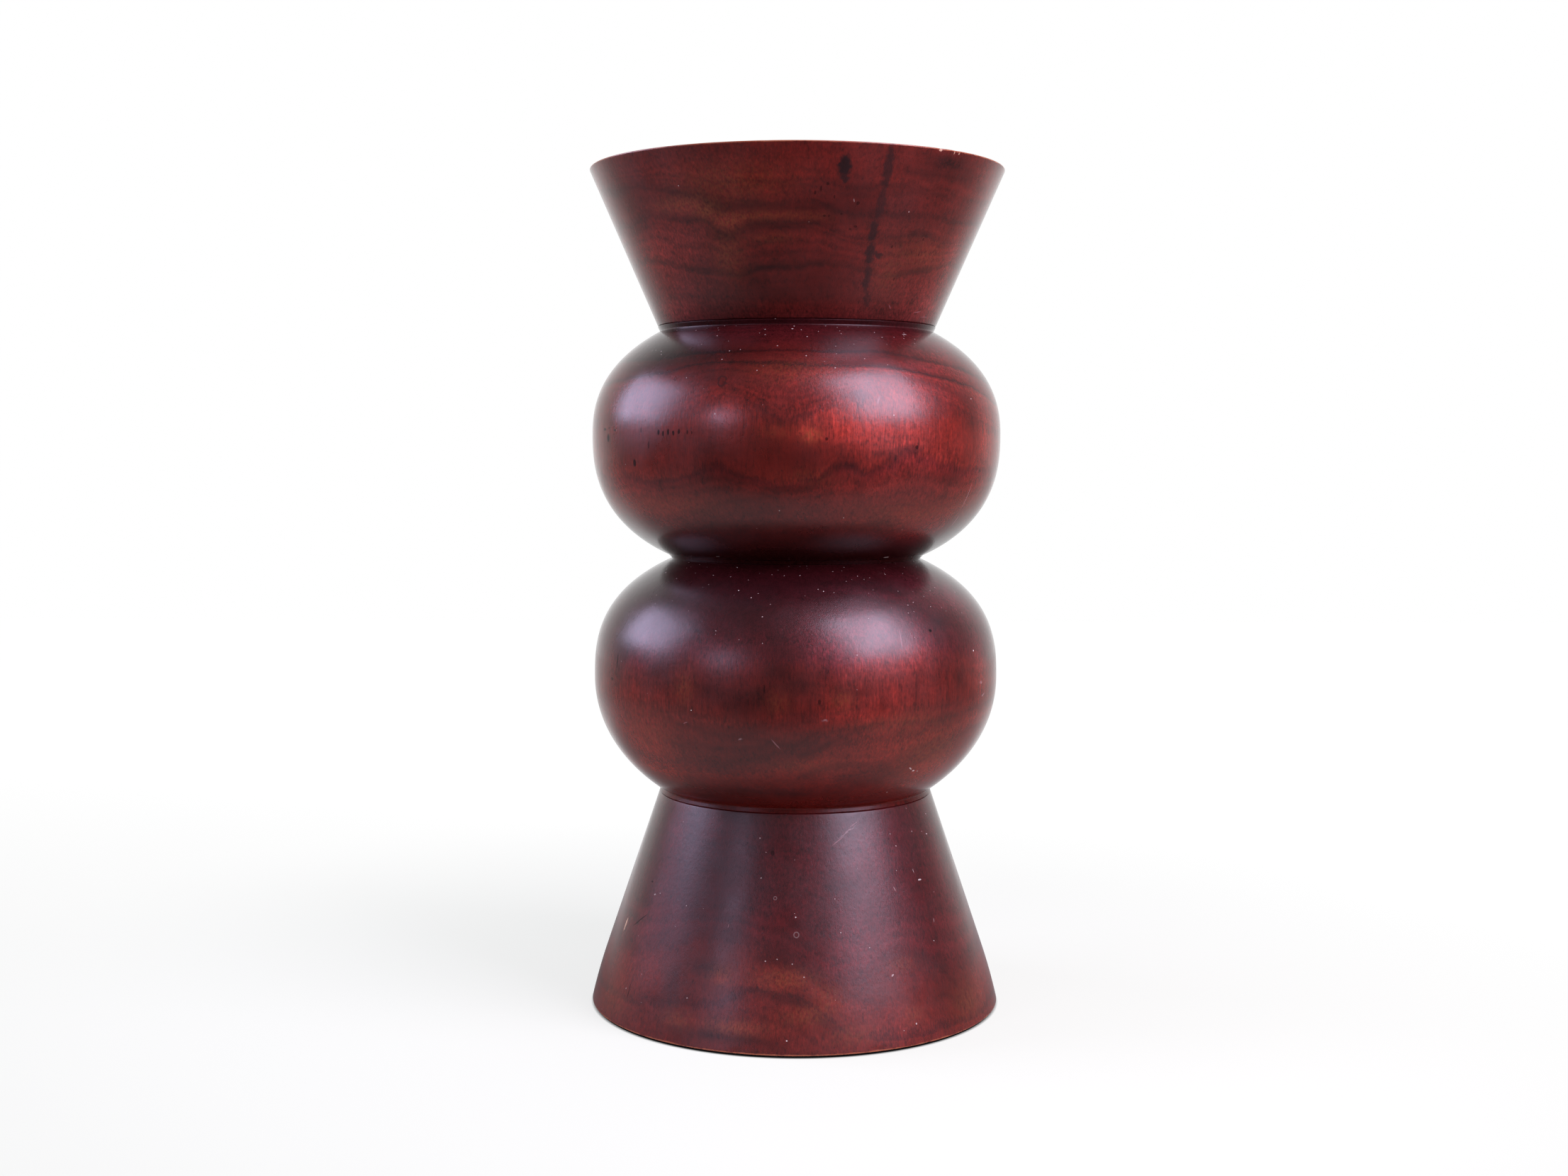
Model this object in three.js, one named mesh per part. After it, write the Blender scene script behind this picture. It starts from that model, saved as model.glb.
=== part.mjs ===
// A stacked, turned wooden vase: a conical foot, two round bellies and a conical mouth, red stained,
// joined end to end by glued round tenons. The three upper sections are bored through for a removable
// metal liner that holds the water, and a thin felt pad covers the underside of the foot.
// Millimetres, +Z up, origin at the middle of the underside.

import * as THREE from "three";

// Heights of the sections, from the table up
const padThickness = 1;
const footHeight = 101.9;
const lowerBellyHeight = 112.9;
const upperBellyHeight = 110.4;
const mouthHeight = 73.4;

// Outside radii. The bellies are turned from the same size of blank as the mouth, so their widest rings
// lie a little inside the rim.
const footBaseRadius = 100.3; // where the side's straight line meets the underside
const footTopRadius = 65.9;
const lowerBellySetIn = 1.6;
const waistRadius = 60.2;
const upperBellySetIn = 1;
const neckRadius = 66.5;
const rimRadius = 98.8;

// The belly curves, below and above the widest point: how far the whole curve would draw in towards the
// axis, and how square it is, where 2 is an ellipse. A widest point is measured from the section's
// lower end.
const lowerBellyWidestHeight = 56.1;
const lowerBellyBelow = { depth: 90, squareness: 2.02 };
const lowerBellyAbove = { depth: 149, squareness: 2.64 };
const upperBellyWidestHeight = 58.4;
const upperBellyBelow = { depth: 101, squareness: 2.41 };
const upperBellyAbove = { depth: 127, squareness: 2.33 };

// Small turned details on the outside
const footCollarHeight = 2.1; // the lower belly's own wood, running on along the foot's slope
const neckCollarHeight = 2.5; // the upper belly's own wood, running on along the mouth's slope
const waistBevelHeight = 1.7;
const waistBevelWidth = 1.4;
const baseRollHeight = 25; // the foot's side rolls in a little towards its bottom edge
const baseRollWidth = 1.35;
const rimEdgeHeight = 1.6; // the softened outer edge of the rim
const rimEdgeWidth = 1.2;

// The hollow of the mouth
const rimLandWidth = 8.6; // flat top of the rim between its two softened edges
const rimInnerEdge = 2;
const funnelSeatMargin = 2; // flat wood round the recess of the liner's lip
const lipRecessDepth = 2.6;

// The joints between the sections
const glueLine = 0.1; // between two flat faces
const tenonGlueGap = 0.2; // round a tenon in its socket
const tenonEndGap = 0.6; // beyond a tenon's end, where spare glue goes
const tenonChamfer = 1.2;
const ringTenonWall = 14.2;
const ringTenonHalfLength = 11;
const footTenonRadius = 25;
const footTenonHalfLength = 24.5;

// The liner and its bore
const linerRadius = 27;
const linerWall = 1.2;
const linerLipOverhang = 6;
const linerLipThickness = 2;
const linerCornerRadius = 4;
const linerSideClearance = 0.75;
const linerLipClearance = 1;
const linerSeatGap = 0.1;
const linerEndClearance = 2;
const webOverFootTenon = 15; // wood left between the foot tenon's socket and the floor of the bore
const webUnderLip = 7.4; // wood left between the ring tenon's socket and the liner's seat

// The underside of the foot
const chuckRecessRadius = 30;
const chuckRecessDepth = 4;
const padInset = 2; // how far the pad stays inside the foot's bottom edge

// Fineness of the round surfaces
const turnSteps = 60;
const bellySteps = 11; // on each half of a belly
const baseRollSteps = 5;
const edgeSteps = 4;

// Sizes that follow from the ones above
const lowerBellyRadius = rimRadius - lowerBellySetIn;
const upperBellyRadius = rimRadius - upperBellySetIn;
const boreRadius = linerRadius + linerSideClearance;
const ringTenonRadius = boreRadius + ringTenonWall;
const ringSocketRadius = ringTenonRadius + tenonGlueGap;
const ringSocketDepth = ringTenonHalfLength + tenonEndGap;
const footSocketRadius = footTenonRadius + tenonGlueGap;
const footSocketDepth = footTenonHalfLength + tenonEndGap;
const boreFloor = footSocketDepth + webOverFootTenon; // over the lower belly's underside
const linerSeat = ringSocketDepth + webUnderLip; // over the mouth's underside
const lipRadius = linerRadius + linerLipOverhang;
const lipRecessRadius = lipRadius + linerLipClearance;
const footSlope = (footTopRadius - footBaseRadius) / footHeight;
const mouthSlope = (rimRadius - neckRadius) / mouthHeight;

const footBottom = padThickness + glueLine;
const lowerBellyBottom = footBottom + footHeight + glueLine;
const upperBellyBottom = lowerBellyBottom + lowerBellyHeight + glueLine;
const mouthBottom = upperBellyBottom + upperBellyHeight + glueLine;
const linerTop = mouthBottom + linerSeat + linerSeatGap + linerLipThickness;
const linerBottom = lowerBellyBottom + boreFloor + linerEndClearance;
const linerLength = linerTop - linerBottom;

// Finishes
const stainedWood = () => new THREE.MeshStandardMaterial({ color: "#6e2724", roughness: 0.42, metalness: 0 });
const bareBeech = new THREE.MeshStandardMaterial({ color: "#c9a379", roughness: 0.7, metalness: 0 });
const spunAluminium = new THREE.MeshStandardMaterial({ color: "#c4c6c8", roughness: 0.35, metalness: 1 });
const blackFelt = new THREE.MeshStandardMaterial({ color: "#1b1a1b", roughness: 0.95, metalness: 0 });

const at = (radius, height) => new THREE.Vector2(radius, height);

// Points of a soft corner: a quadratic curve from one point to another that bends about the corner.
function softCorner(from, corner, to) {
  return new THREE.QuadraticBezierCurve(from, corner, to).getPoints(edgeSteps);
}

// One half of a belly, from its widest point to its end. The curve is a superellipse: at the share t of
// its reach it is drawn in by depth * (1 - (1 - t^n)^(1/n)), and its reach is set so that it passes
// through the end point.
function halfBelly({ depth, squareness: n }, widest, end) {
  const drawnIn = (t) => depth * (1 - (1 - t ** n) ** (1 / n));
  const endShare = (1 - (1 - (widest.x - end.x) / depth) ** n) ** (1 / n);
  const points = [];
  for (let i = 0; i <= bellySteps; i++) {
    // Steps that close up towards the end, where the curve bends most
    const step = Math.sin(((i / bellySteps) * Math.PI) / 2);
    points.push(at(widest.x - drawnIn(endShare * step), widest.y + (end.y - widest.y) * step));
  }
  return points;
}

// The outside of a belly, from its lower end to its upper end.
function bellyOutline(below, above, widest, lowerEnd, upperEnd) {
  return [...halfBelly(below, widest, lowerEnd).reverse(), ...halfBelly(above, widest, upperEnd).slice(1)];
}

// A solid turned about the Z axis from an outline of radii and heights. The outline runs up the outside
// and either starts and ends on the axis or, on a ring, closes on itself.
function turned(name, outline, material, bottom) {
  const geometry = new THREE.LatheGeometry(outline, turnSteps).rotateX(Math.PI / 2);
  const mesh = new THREE.Mesh(geometry, material);
  mesh.name = name;
  mesh.position.z = bottom;
  return mesh;
}

function ring(name, outline, material, bottom) {
  return turned(name, [...outline, outline[0].clone()], material, bottom);
}

// The felt pad glued under the foot
function makeBasePad() {
  const radius = footBaseRadius - baseRollWidth - padInset;
  const outline = [at(0, 0), at(radius, 0), at(radius, padThickness), at(0, padThickness)];
  return turned("base_pad", outline, blackFelt, 0);
}

// The foot: a solid cone frustum with a chuck recess below and a socket for the foot tenon above
function makeFoot() {
  const side = (height) => footBaseRadius + footSlope * height;
  const roll = [];
  for (let i = 0; i <= baseRollSteps; i++) {
    const share = i / baseRollSteps;
    roll.push(at(side(share * baseRollHeight) - baseRollWidth * (1 - share) ** 2, share * baseRollHeight));
  }
  const socketFloor = footHeight - footSocketDepth;
  return turned(
    "foot",
    [
      at(0, chuckRecessDepth),
      at(chuckRecessRadius, chuckRecessDepth),
      at(chuckRecessRadius, 0),
      ...roll,
      at(footTopRadius, footHeight),
      at(footSocketRadius, footHeight),
      at(footSocketRadius, socketFloor),
      at(0, socketFloor),
    ],
    stainedWood(),
    footBottom,
  );
}

// The lower belly: a blind socket below for the foot tenon, and a blind bore above for the liner,
// widened at the top for the waist tenon
function makeLowerBelly() {
  const collarTop = footTopRadius + footSlope * footCollarHeight;
  return turned(
    "lower_belly",
    [
      at(0, footSocketDepth),
      at(footSocketRadius, footSocketDepth),
      at(footSocketRadius, 0),
      at(footTopRadius, 0),
      ...bellyOutline(
        lowerBellyBelow,
        lowerBellyAbove,
        at(lowerBellyRadius, lowerBellyWidestHeight),
        at(collarTop, footCollarHeight),
        at(waistRadius, lowerBellyHeight),
      ),
      at(ringSocketRadius, lowerBellyHeight),
      at(ringSocketRadius, lowerBellyHeight - ringSocketDepth),
      at(boreRadius, lowerBellyHeight - ringSocketDepth),
      at(boreRadius, boreFloor),
      at(0, boreFloor),
    ],
    stainedWood(),
    lowerBellyBottom,
  );
}

// The upper belly: bored through for the liner, with a ring tenon's socket at each end
function makeUpperBelly() {
  const collarFoot = neckRadius - mouthSlope * neckCollarHeight;
  return ring(
    "upper_belly",
    [
      at(boreRadius, ringSocketDepth),
      at(ringSocketRadius, ringSocketDepth),
      at(ringSocketRadius, 0),
      at(waistRadius, 0),
      ...bellyOutline(
        upperBellyBelow,
        upperBellyAbove,
        at(upperBellyRadius, upperBellyWidestHeight),
        at(waistRadius + waistBevelWidth, waistBevelHeight),
        at(collarFoot, upperBellyHeight - neckCollarHeight),
      ),
      at(neckRadius, upperBellyHeight),
      at(ringSocketRadius, upperBellyHeight),
      at(ringSocketRadius, upperBellyHeight - ringSocketDepth),
      at(boreRadius, upperBellyHeight - ringSocketDepth),
    ],
    stainedWood(),
    upperBellyBottom,
  );
}

// The mouth: a cone frustum that widens to the rim, hollowed as a funnel down to a recess for the
// liner's lip, with the neck tenon's socket below
function makeMouth() {
  const funnelFoot = at(lipRecessRadius + funnelSeatMargin, linerSeat + lipRecessDepth);
  const landOuter = rimRadius - rimEdgeWidth;
  const landInner = landOuter - rimLandWidth;
  const funnelTop = at(landInner - rimInnerEdge, mouthHeight - rimInnerEdge);
  const outerEdge = softCorner(
    at(rimRadius - mouthSlope * rimEdgeHeight, mouthHeight - rimEdgeHeight),
    at(rimRadius, mouthHeight),
    at(landOuter, mouthHeight),
  );
  const innerEdge = softCorner(
    at(landInner, mouthHeight),
    at(landInner - rimInnerEdge / 2, mouthHeight),
    funnelTop,
  );
  return ring(
    "mouth",
    [
      at(boreRadius, ringSocketDepth),
      at(ringSocketRadius, ringSocketDepth),
      at(ringSocketRadius, 0),
      at(neckRadius, 0),
      ...outerEdge,
      ...innerEdge,
      funnelFoot,
      at(lipRecessRadius, linerSeat + lipRecessDepth),
      at(lipRecessRadius, linerSeat),
      at(boreRadius, linerSeat),
    ],
    stainedWood(),
    mouthBottom,
  );
}

// A hollow round tenon that joins two bored sections, half of its length in each
function makeRingTenon(name, jointHeight) {
  const length = 2 * ringTenonHalfLength;
  return ring(
    name,
    [
      at(boreRadius, 0),
      at(ringTenonRadius - tenonChamfer, 0),
      at(ringTenonRadius, tenonChamfer),
      at(ringTenonRadius, length - tenonChamfer),
      at(ringTenonRadius - tenonChamfer, length),
      at(boreRadius, length),
    ],
    bareBeech,
    jointHeight - ringTenonHalfLength,
  );
}

// The solid round tenon that joins the lower belly to the foot
function makeFootTenon(jointHeight) {
  const length = 2 * footTenonHalfLength;
  return turned(
    "foot_tenon",
    [
      at(0, 0),
      at(footTenonRadius - tenonChamfer, 0),
      at(footTenonRadius, tenonChamfer),
      at(footTenonRadius, length - tenonChamfer),
      at(footTenonRadius - tenonChamfer, length),
      at(0, length),
    ],
    bareBeech,
    jointHeight - footTenonHalfLength,
  );
}

// The liner: a spun beaker with a rounded bottom corner and a flat lip that hangs in the mouth's recess
function makeLiner() {
  const inside = linerRadius - linerWall;
  const bottomCorner = softCorner(
    at(linerRadius - linerCornerRadius, 0),
    at(linerRadius, 0),
    at(linerRadius, linerCornerRadius),
  );
  const insideCorner = softCorner(
    at(inside, linerCornerRadius),
    at(inside, linerWall),
    at(linerRadius - linerCornerRadius, linerWall),
  );
  return turned(
    "water_liner",
    [
      at(0, 0),
      ...bottomCorner,
      at(linerRadius, linerLength - linerLipThickness),
      at(lipRadius, linerLength - linerLipThickness),
      at(lipRadius, linerLength),
      at(inside, linerLength),
      ...insideCorner,
      at(0, linerWall),
    ],
    spunAluminium,
    linerBottom,
  );
}

// The vase, assembled. A joint's height is the middle of its glue line.
const vase = new THREE.Group();
vase.add(
  makeBasePad(),
  makeFoot(),
  makeFootTenon(lowerBellyBottom - glueLine / 2),
  makeLowerBelly(),
  makeRingTenon("waist_tenon", upperBellyBottom - glueLine / 2),
  makeUpperBelly(),
  makeRingTenon("neck_tenon", mouthBottom - glueLine / 2),
  makeMouth(),
  makeLiner(),
);

export default vase;
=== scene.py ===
"""A stacked, turned wooden vase in a dark red stain: a conical foot, two round bellies and a flared mouth,
glued end to end by round tenons, with a lift-out aluminium water liner and a felt pad under the foot.

Shapes and patterns are worked out in millimetres and the finished meshes are in metres. +Z is up, and
the front of the vase faces -Y. A place on a turned piece is given by its turn, in degrees round from the
front towards +X, and its height over the table.
"""

import logging
import math
from dataclasses import dataclass
from enum import Enum

import bpy
import numpy as np
from mathutils import Matrix, Vector


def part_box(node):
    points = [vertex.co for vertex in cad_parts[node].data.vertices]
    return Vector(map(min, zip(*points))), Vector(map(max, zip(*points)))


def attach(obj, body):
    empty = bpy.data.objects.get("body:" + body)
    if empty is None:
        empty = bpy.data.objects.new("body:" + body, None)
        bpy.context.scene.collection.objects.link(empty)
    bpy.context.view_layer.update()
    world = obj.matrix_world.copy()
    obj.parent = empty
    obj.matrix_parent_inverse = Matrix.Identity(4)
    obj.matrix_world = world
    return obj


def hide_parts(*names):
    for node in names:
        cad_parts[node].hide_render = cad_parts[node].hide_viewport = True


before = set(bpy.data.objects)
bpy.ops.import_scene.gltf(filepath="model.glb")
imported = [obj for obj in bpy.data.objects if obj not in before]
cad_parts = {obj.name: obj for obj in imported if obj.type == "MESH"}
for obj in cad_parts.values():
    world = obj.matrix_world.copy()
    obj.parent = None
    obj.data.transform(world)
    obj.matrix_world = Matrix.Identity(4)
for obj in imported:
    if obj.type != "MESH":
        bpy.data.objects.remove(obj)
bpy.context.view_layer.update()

log = logging.getLogger("vase")

MM = 0.001
PHOTO_SIZE = (2212, 1659)
# Points nearer to each other than this are one point, in millimetres
TINY = 1e-6
# The longest steps along an outline where it shows and where it is hidden, in millimetres
FINE = 1.4
COARSE = 6.0
# Edges that bend more than this show as edges, in degrees
EDGE_ANGLE = 38
# A mark reaches this far in, in millimetres, much more than the surface curves under it
MARK_DEPTH = 15.0
# The setting that makes a MapRange node a soft step
SOFT = {"interpolation_type": "SMOOTHSTEP"}

# Linear red, green and blue, with alpha
Colour = tuple[float, float, float, float]


def linear(colour: str) -> Colour:
    """Turns an sRGB hex colour into linear red, green and blue with full alpha.

    Args:
        colour: the colour as "#rrggbb".

    Returns:
        The linear colour, as Blender's colour sockets take it.
    """
    shares = [int(colour[i : i + 2], 16) / 255 for i in (1, 3, 5)]
    red, green, blue = (s / 12.92 if s <= 0.04045 else ((s + 0.055) / 1.055) ** 2.4 for s in shares)
    return red, green, blue, 1.0


class Nodes:
    """The node tree of a material or of the world, filled one node at a time."""

    def __init__(self, owner: bpy.types.Material | bpy.types.World) -> None:
        """Empties the owner's node tree.

        Args:
            owner: the material or world that gets the nodes.
        """
        owner.use_nodes = True
        self.tree = owner.node_tree
        self.tree.nodes.clear()

    def add(self, kind: str, *inputs: object, **settings: object) -> bpy.types.Node:
        """Adds a node with its settings and links.

        Args:
            kind: the node's type without its "ShaderNode".
            inputs: a value, a socket or a whole node for each input in turn, and a dict of them by label.
            settings: the node's own properties.

        Returns:
            The node. Its first output in use stands for it where it is another node's input.
        """
        node = self.tree.nodes.new("ShaderNode" + kind)
        for name, value in settings.items():
            setattr(node, name, value)
        labelled = inputs[-1] if inputs and isinstance(inputs[-1], dict) else {}
        given = [(node.inputs[place], value) for place, value in enumerate(inputs) if value is not labelled]
        for label, value in labelled.items():
            given.append((next(s for s in node.inputs if s.enabled and s.name == label), value))
        for socket, value in given:
            if isinstance(value, bpy.types.Node):
                value = next(s for s in value.outputs if s.enabled)
            if isinstance(value, bpy.types.NodeSocket):
                self.tree.links.new(value, socket)
            else:
                socket.default_value = value
        return node


def fill(ramp: bpy.types.Node, stops: list[tuple[float, Colour]]) -> bpy.types.Node:
    """Sets the colours of a colour ramp.

    Args:
        ramp: the ramp's node.
        stops: each value from 0 to 1 with its colour, the first at 0 and the last at 1.

    Returns:
        The same node.
    """
    elements = ramp.color_ramp.elements
    elements[0].color, elements[-1].color = stops[0][1], stops[-1][1]
    for place, colour in stops[1:-1]:
        elements.new(place).color = colour
    return ramp


@dataclass(frozen=True)
class Span:
    """Where a CAD node stands, in millimetres."""

    bottom: float
    top: float
    radius: float

    @classmethod
    def of(cls, node: str) -> "Span":
        """Reads a node's span from the frame.

        Args:
            node: the CAD node's name.

        Returns:
            Its lowest and highest levels and its outer radius.
        """
        low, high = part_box(node)
        return cls(low.z / MM, high.z / MM, high.x / MM)


def spaced(points: np.ndarray, longest: float) -> np.ndarray:
    """Cuts each straight stretch of an outline into equal steps.

    A stretch of length L gets ceil(L / longest) steps, and a point at the share s of a stretch from a to b
    is a + s (b - a).

    Args:
        points: the outline's radii and heights.
        longest: the longest step allowed.

    Returns:
        The outline with the extra points.
    """
    stretches = np.diff(points, axis=0)
    counts = np.ceil(np.linalg.norm(stretches, axis=1) / longest - TINY).astype(int).clip(1)
    owner = np.repeat(np.arange(len(counts)), counts)
    share = (np.arange(counts.sum()) - (np.cumsum(counts) - counts)[owner]) / counts[owner]
    return np.vstack([points[owner] + stretches[owner] * share[:, None], points[-1]])


def softened(corners: np.ndarray, steps: int = 5) -> np.ndarray:
    """Rounds the corners of an outline.

    A corner c with softness s is replaced by the quadratic curve (1-t)^2 a + 2t(1-t) c + t^2 b, where a and
    b lie s before and after the corner on its two stretches.

    Args:
        corners: rows of radius, height and softness.
        steps: the number of steps on each rounded corner.

    Returns:
        The outline's radii and heights.
    """
    place, softness = corners[:, :2], corners[:, 2:]
    before = place - np.roll(place, 1, axis=0)
    after = np.roll(place, -1, axis=0) - place
    before[0] = after[0]
    after[-1] = before[-1]
    before /= np.linalg.norm(before, axis=1, keepdims=True)
    after /= np.linalg.norm(after, axis=1, keepdims=True)
    t = np.linspace(0, 1, steps + 1)[None, :, None]
    start = (place - softness * before)[:, None]
    end = (place + softness * after)[:, None]
    curve = ((1 - t) ** 2 * start + 2 * t * (1 - t) * place[:, None] + t**2 * end).reshape(-1, 2)
    kept = np.r_[True, np.linalg.norm(np.diff(curve, axis=0), axis=1) > TINY]
    return curve[kept]


def sharp(points: np.ndarray) -> np.ndarray:
    """Gives each point of a computed outline a softness of nothing."""
    return np.column_stack([points, np.zeros(len(points))])


@dataclass(frozen=True)
class HalfBelly:
    """One half of a belly's curve, from its widest ring to its end."""

    depth: float
    squareness: float
    samples: int = 400

    def curve(self, widest: tuple[float, float], end: tuple[float, float], spacing: float) -> np.ndarray:
        """Works out the curve.

        It is a superellipse: at the share t of its reach it is drawn in by
        depth (1 - (1 - t^n)^(1/n)), and its reach is set so that it passes through the end point.

        Args:
            widest: radius and height of the widest ring.
            end: radius and height of the end.
            spacing: the length of a step along the curve.

        Returns:
            The radii and heights, evenly spaced, from the widest ring to the end.
        """
        n = self.squareness
        end_share = (1 - (1 - (widest[0] - end[0]) / self.depth) ** n) ** (1 / n)
        share = np.sin(np.linspace(0, math.pi / 2, self.samples))
        t = end_share * share
        radius = widest[0] - self.depth * (1 - (1 - t**n) ** (1 / n))
        height = widest[1] + (end[1] - widest[1]) * share
        along = np.r_[0, np.cumsum(np.hypot(np.diff(radius), np.diff(height)))]
        even = np.linspace(0, along[-1], max(2, round(along[-1] / spacing)))
        return np.column_stack([np.interp(even, along, radius), np.interp(even, along, height)])


@dataclass(frozen=True)
class Swell:
    """A soft-edged patch of some amount, on the side of a turned piece."""

    turn: float
    height: float
    reach_round: float
    reach_up: float
    amount: float


def patches(*rows: tuple[float, ...]) -> tuple[Swell, ...]:
    """Gives patches from their rows of turn, height, reach round, reach up and amount."""
    return tuple(Swell(*row) for row in rows)


def swollen(swells: tuple[Swell, ...], turn: np.ndarray, height: np.ndarray) -> np.ndarray:
    """Adds up soft patches.

    Each adds amount exp(-(dt / reach_round)^2 - (dh / reach_up)^2), where dt is how far round and dh how
    far up a place is from the patch's middle.

    Args:
        swells: the patches.
        turn: the places' turns in degrees.
        height: the places' heights in millimetres.

    Returns:
        The sum at each place.
    """
    total = np.zeros_like(height)
    for swell in swells:
        round_by = (turn - swell.turn + 180) % 360 - 180
        total += swell.amount * np.exp(
            -((round_by / swell.reach_round) ** 2) - ((height - swell.height) / swell.reach_up) ** 2
        )
    return total


@dataclass(frozen=True)
class Vein:
    """A thin line in the wood, dark where the dye went in deep and bright where the amount is negative.

    points are turns and heights that it passes through, on the front half of the piece.
    """

    thickness: float
    amount: float
    points: tuple[tuple[float, float], ...]


def veined(veins: tuple[Vein, ...], turn: np.ndarray, height: np.ndarray) -> np.ndarray:
    """Adds up veins.

    Each adds amount exp(-(d / thickness)^2 - p^2), where d is how far over or under the line a place is and
    p is how far past its ends, in degrees. A ring that is cut through on the front comes out again on the
    back, so the back half has the same veins, mirrored.

    Args:
        veins: the veins.
        turn: the places' turns in degrees.
        height: the places' heights in millimetres.

    Returns:
        The sum at each place.
    """
    folded = np.where(np.abs(turn) > 90, 180 * np.sign(turn) - turn, turn)
    total = np.zeros_like(height)
    for vein in veins:
        turns, heights = np.array(vein.points).T
        off = (height - np.interp(folded, turns, heights)) / vein.thickness
        past = np.maximum(turns[0] - folded, folded - turns[-1]).clip(0)
        total += vein.amount * np.exp(-(off**2) - past**2)
    return total


class Blemish(Enum):
    """Kinds of small mark on the wood."""

    RESIN = ("#1f0c0e", 1.1, 0.5)
    PIT = ("#120708", 0.15, 0.4)
    RUB = ("#a88a8c", 0.5, 0.9)
    SCRATCH = ("#a9767a", 0.08, 0.6)
    BARE = ("#c8a084", 0.35, 0.3)
    LINT = ("#d9cfc9", 0.0, 0.4)

    def __init__(self, tint: str, ragged: float, soft: float) -> None:
        """Names the parts of the value.

        Args:
            tint: the sRGB hex colour.
            ragged: how far the edge wanders, in millimetres.
            soft: the share of the mark over which it fades.
        """
        self.tint = tint
        self.ragged = ragged
        self.soft = soft


@dataclass(frozen=True)
class Mark:
    """One mark on the wood, as an oval of changed colour that lies on the surface.

    Its width is measured along the girth and its length along the side, in millimetres. Its lean is how
    far the top of its long side tips to the right, in degrees. A hollow mark is only the oval's edge, as
    on a curl of lint.
    """

    kind: Blemish
    turn: float
    height: float
    width: float
    length: float
    strength: float
    lean: float = 0.0
    hollow: bool = False


def marks(kind: Blemish, *rows: tuple[float, ...], hollow: bool = False) -> tuple[Mark, ...]:
    """Gives marks from their rows of turn, height, width, length, strength and, if they have one, lean."""
    return tuple(Mark(kind, *row, hollow=hollow) for row in rows)


@dataclass(frozen=True)
class WornEdge:
    """A turned edge where handling has worn the stain away: its ring, its reach and how much is worn."""

    radius: float
    height: float
    reach: float
    amount: float


@dataclass(frozen=True)
class RingLine:
    """The dark line of a growth ring, where it comes out on the turned side.

    level counts the growth up the side, in millimetres of wood. points are turns and heights that the line
    passes through, and its last point is joined to its first one round the back.
    """

    level: float
    points: tuple[tuple[float, float], ...]

    def heights(self, turn: np.ndarray) -> np.ndarray:
        """Gives the line's height at each turn, straight from point to point."""
        turns, heights = np.array(self.points).T
        return np.interp(turn, turns, heights, period=360)


def grown(lines: tuple[RingLine, ...], turn: np.ndarray, height: np.ndarray) -> np.ndarray:
    """Measures the growth at places on a piece.

    From one line to the next the growth rises by the difference of their levels times s, where s is the
    share of the way up between them, kept from 0 to 1.

    Args:
        lines: the ring lines, from the lowest up.
        turn: the places' turns in degrees.
        height: the places' heights in millimetres.

    Returns:
        The level at each place.
    """
    total = np.full_like(height, lines[0].level)
    for under, over in zip(lines, lines[1:]):
        low, high = under.heights(turn), over.heights(turn)
        total += (over.level - under.level) * ((height - low) / (high - low)).clip(0, 1)
    return total


@dataclass(frozen=True)
class Blank:
    """The block of wood that one section is turned from.

    lot is where the block lay in the tree, which shifts every pattern. lines are its ring lines, and zones
    are the colours of the growth, by level. fibre is how long a streak of fibres shows, in millimetres, and
    comb is how far the fibres draw the zones out into teeth.
    """

    lot: tuple[float, float, float]
    lines: tuple[RingLine, ...]
    zones: tuple[tuple[float, str], ...]
    fibre: float
    comb: float


class Finish:
    """What a piece is made of and how its surface was made."""

    name: str

    def layers(self, turn: np.ndarray, height: np.ndarray) -> dict[str, np.ndarray]:
        """Gives the amounts that the finish reads at each vertex, which is none for a plain one."""
        return {}

    def surface(self, nodes: Nodes, here: bpy.types.Node, outline: "Side") -> dict[str, object]:
        """Gives the inputs of the surface, from the place in millimetres and the side of the piece."""
        raise NotImplementedError

    def build(self, outline: "Side") -> bpy.types.Material:
        """Builds the material.

        Args:
            outline: the side of the piece that it dresses.

        Returns:
            The material.
        """
        material = bpy.data.materials.new(self.name)
        nodes = Nodes(material)
        object_place = nodes.add("TexCoord").outputs["Object"]
        here = nodes.add("VectorMath", object_place, {"Scale": 1 / MM}, operation="SCALE")
        nodes.add("OutputMaterial", nodes.add("BsdfPrincipled", self.surface(nodes, here, outline)))
        return material

    def section(self, nodes: Nodes, here: bpy.types.Node) -> bpy.types.Node:
        """Adds the place in the piece's section.

        Args:
            nodes: the material's nodes.
            here: the place on the piece, in millimetres.

        Returns:
            The radius and the height, as a vector.
        """
        flat = nodes.add("VectorMath", here, (1, 1, 0), operation="MULTIPLY")
        radius = nodes.add("VectorMath", flat, operation="LENGTH")
        height = nodes.add("SeparateXYZ", here).outputs["Z"]
        return nodes.add("CombineXYZ", radius, height)


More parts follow.
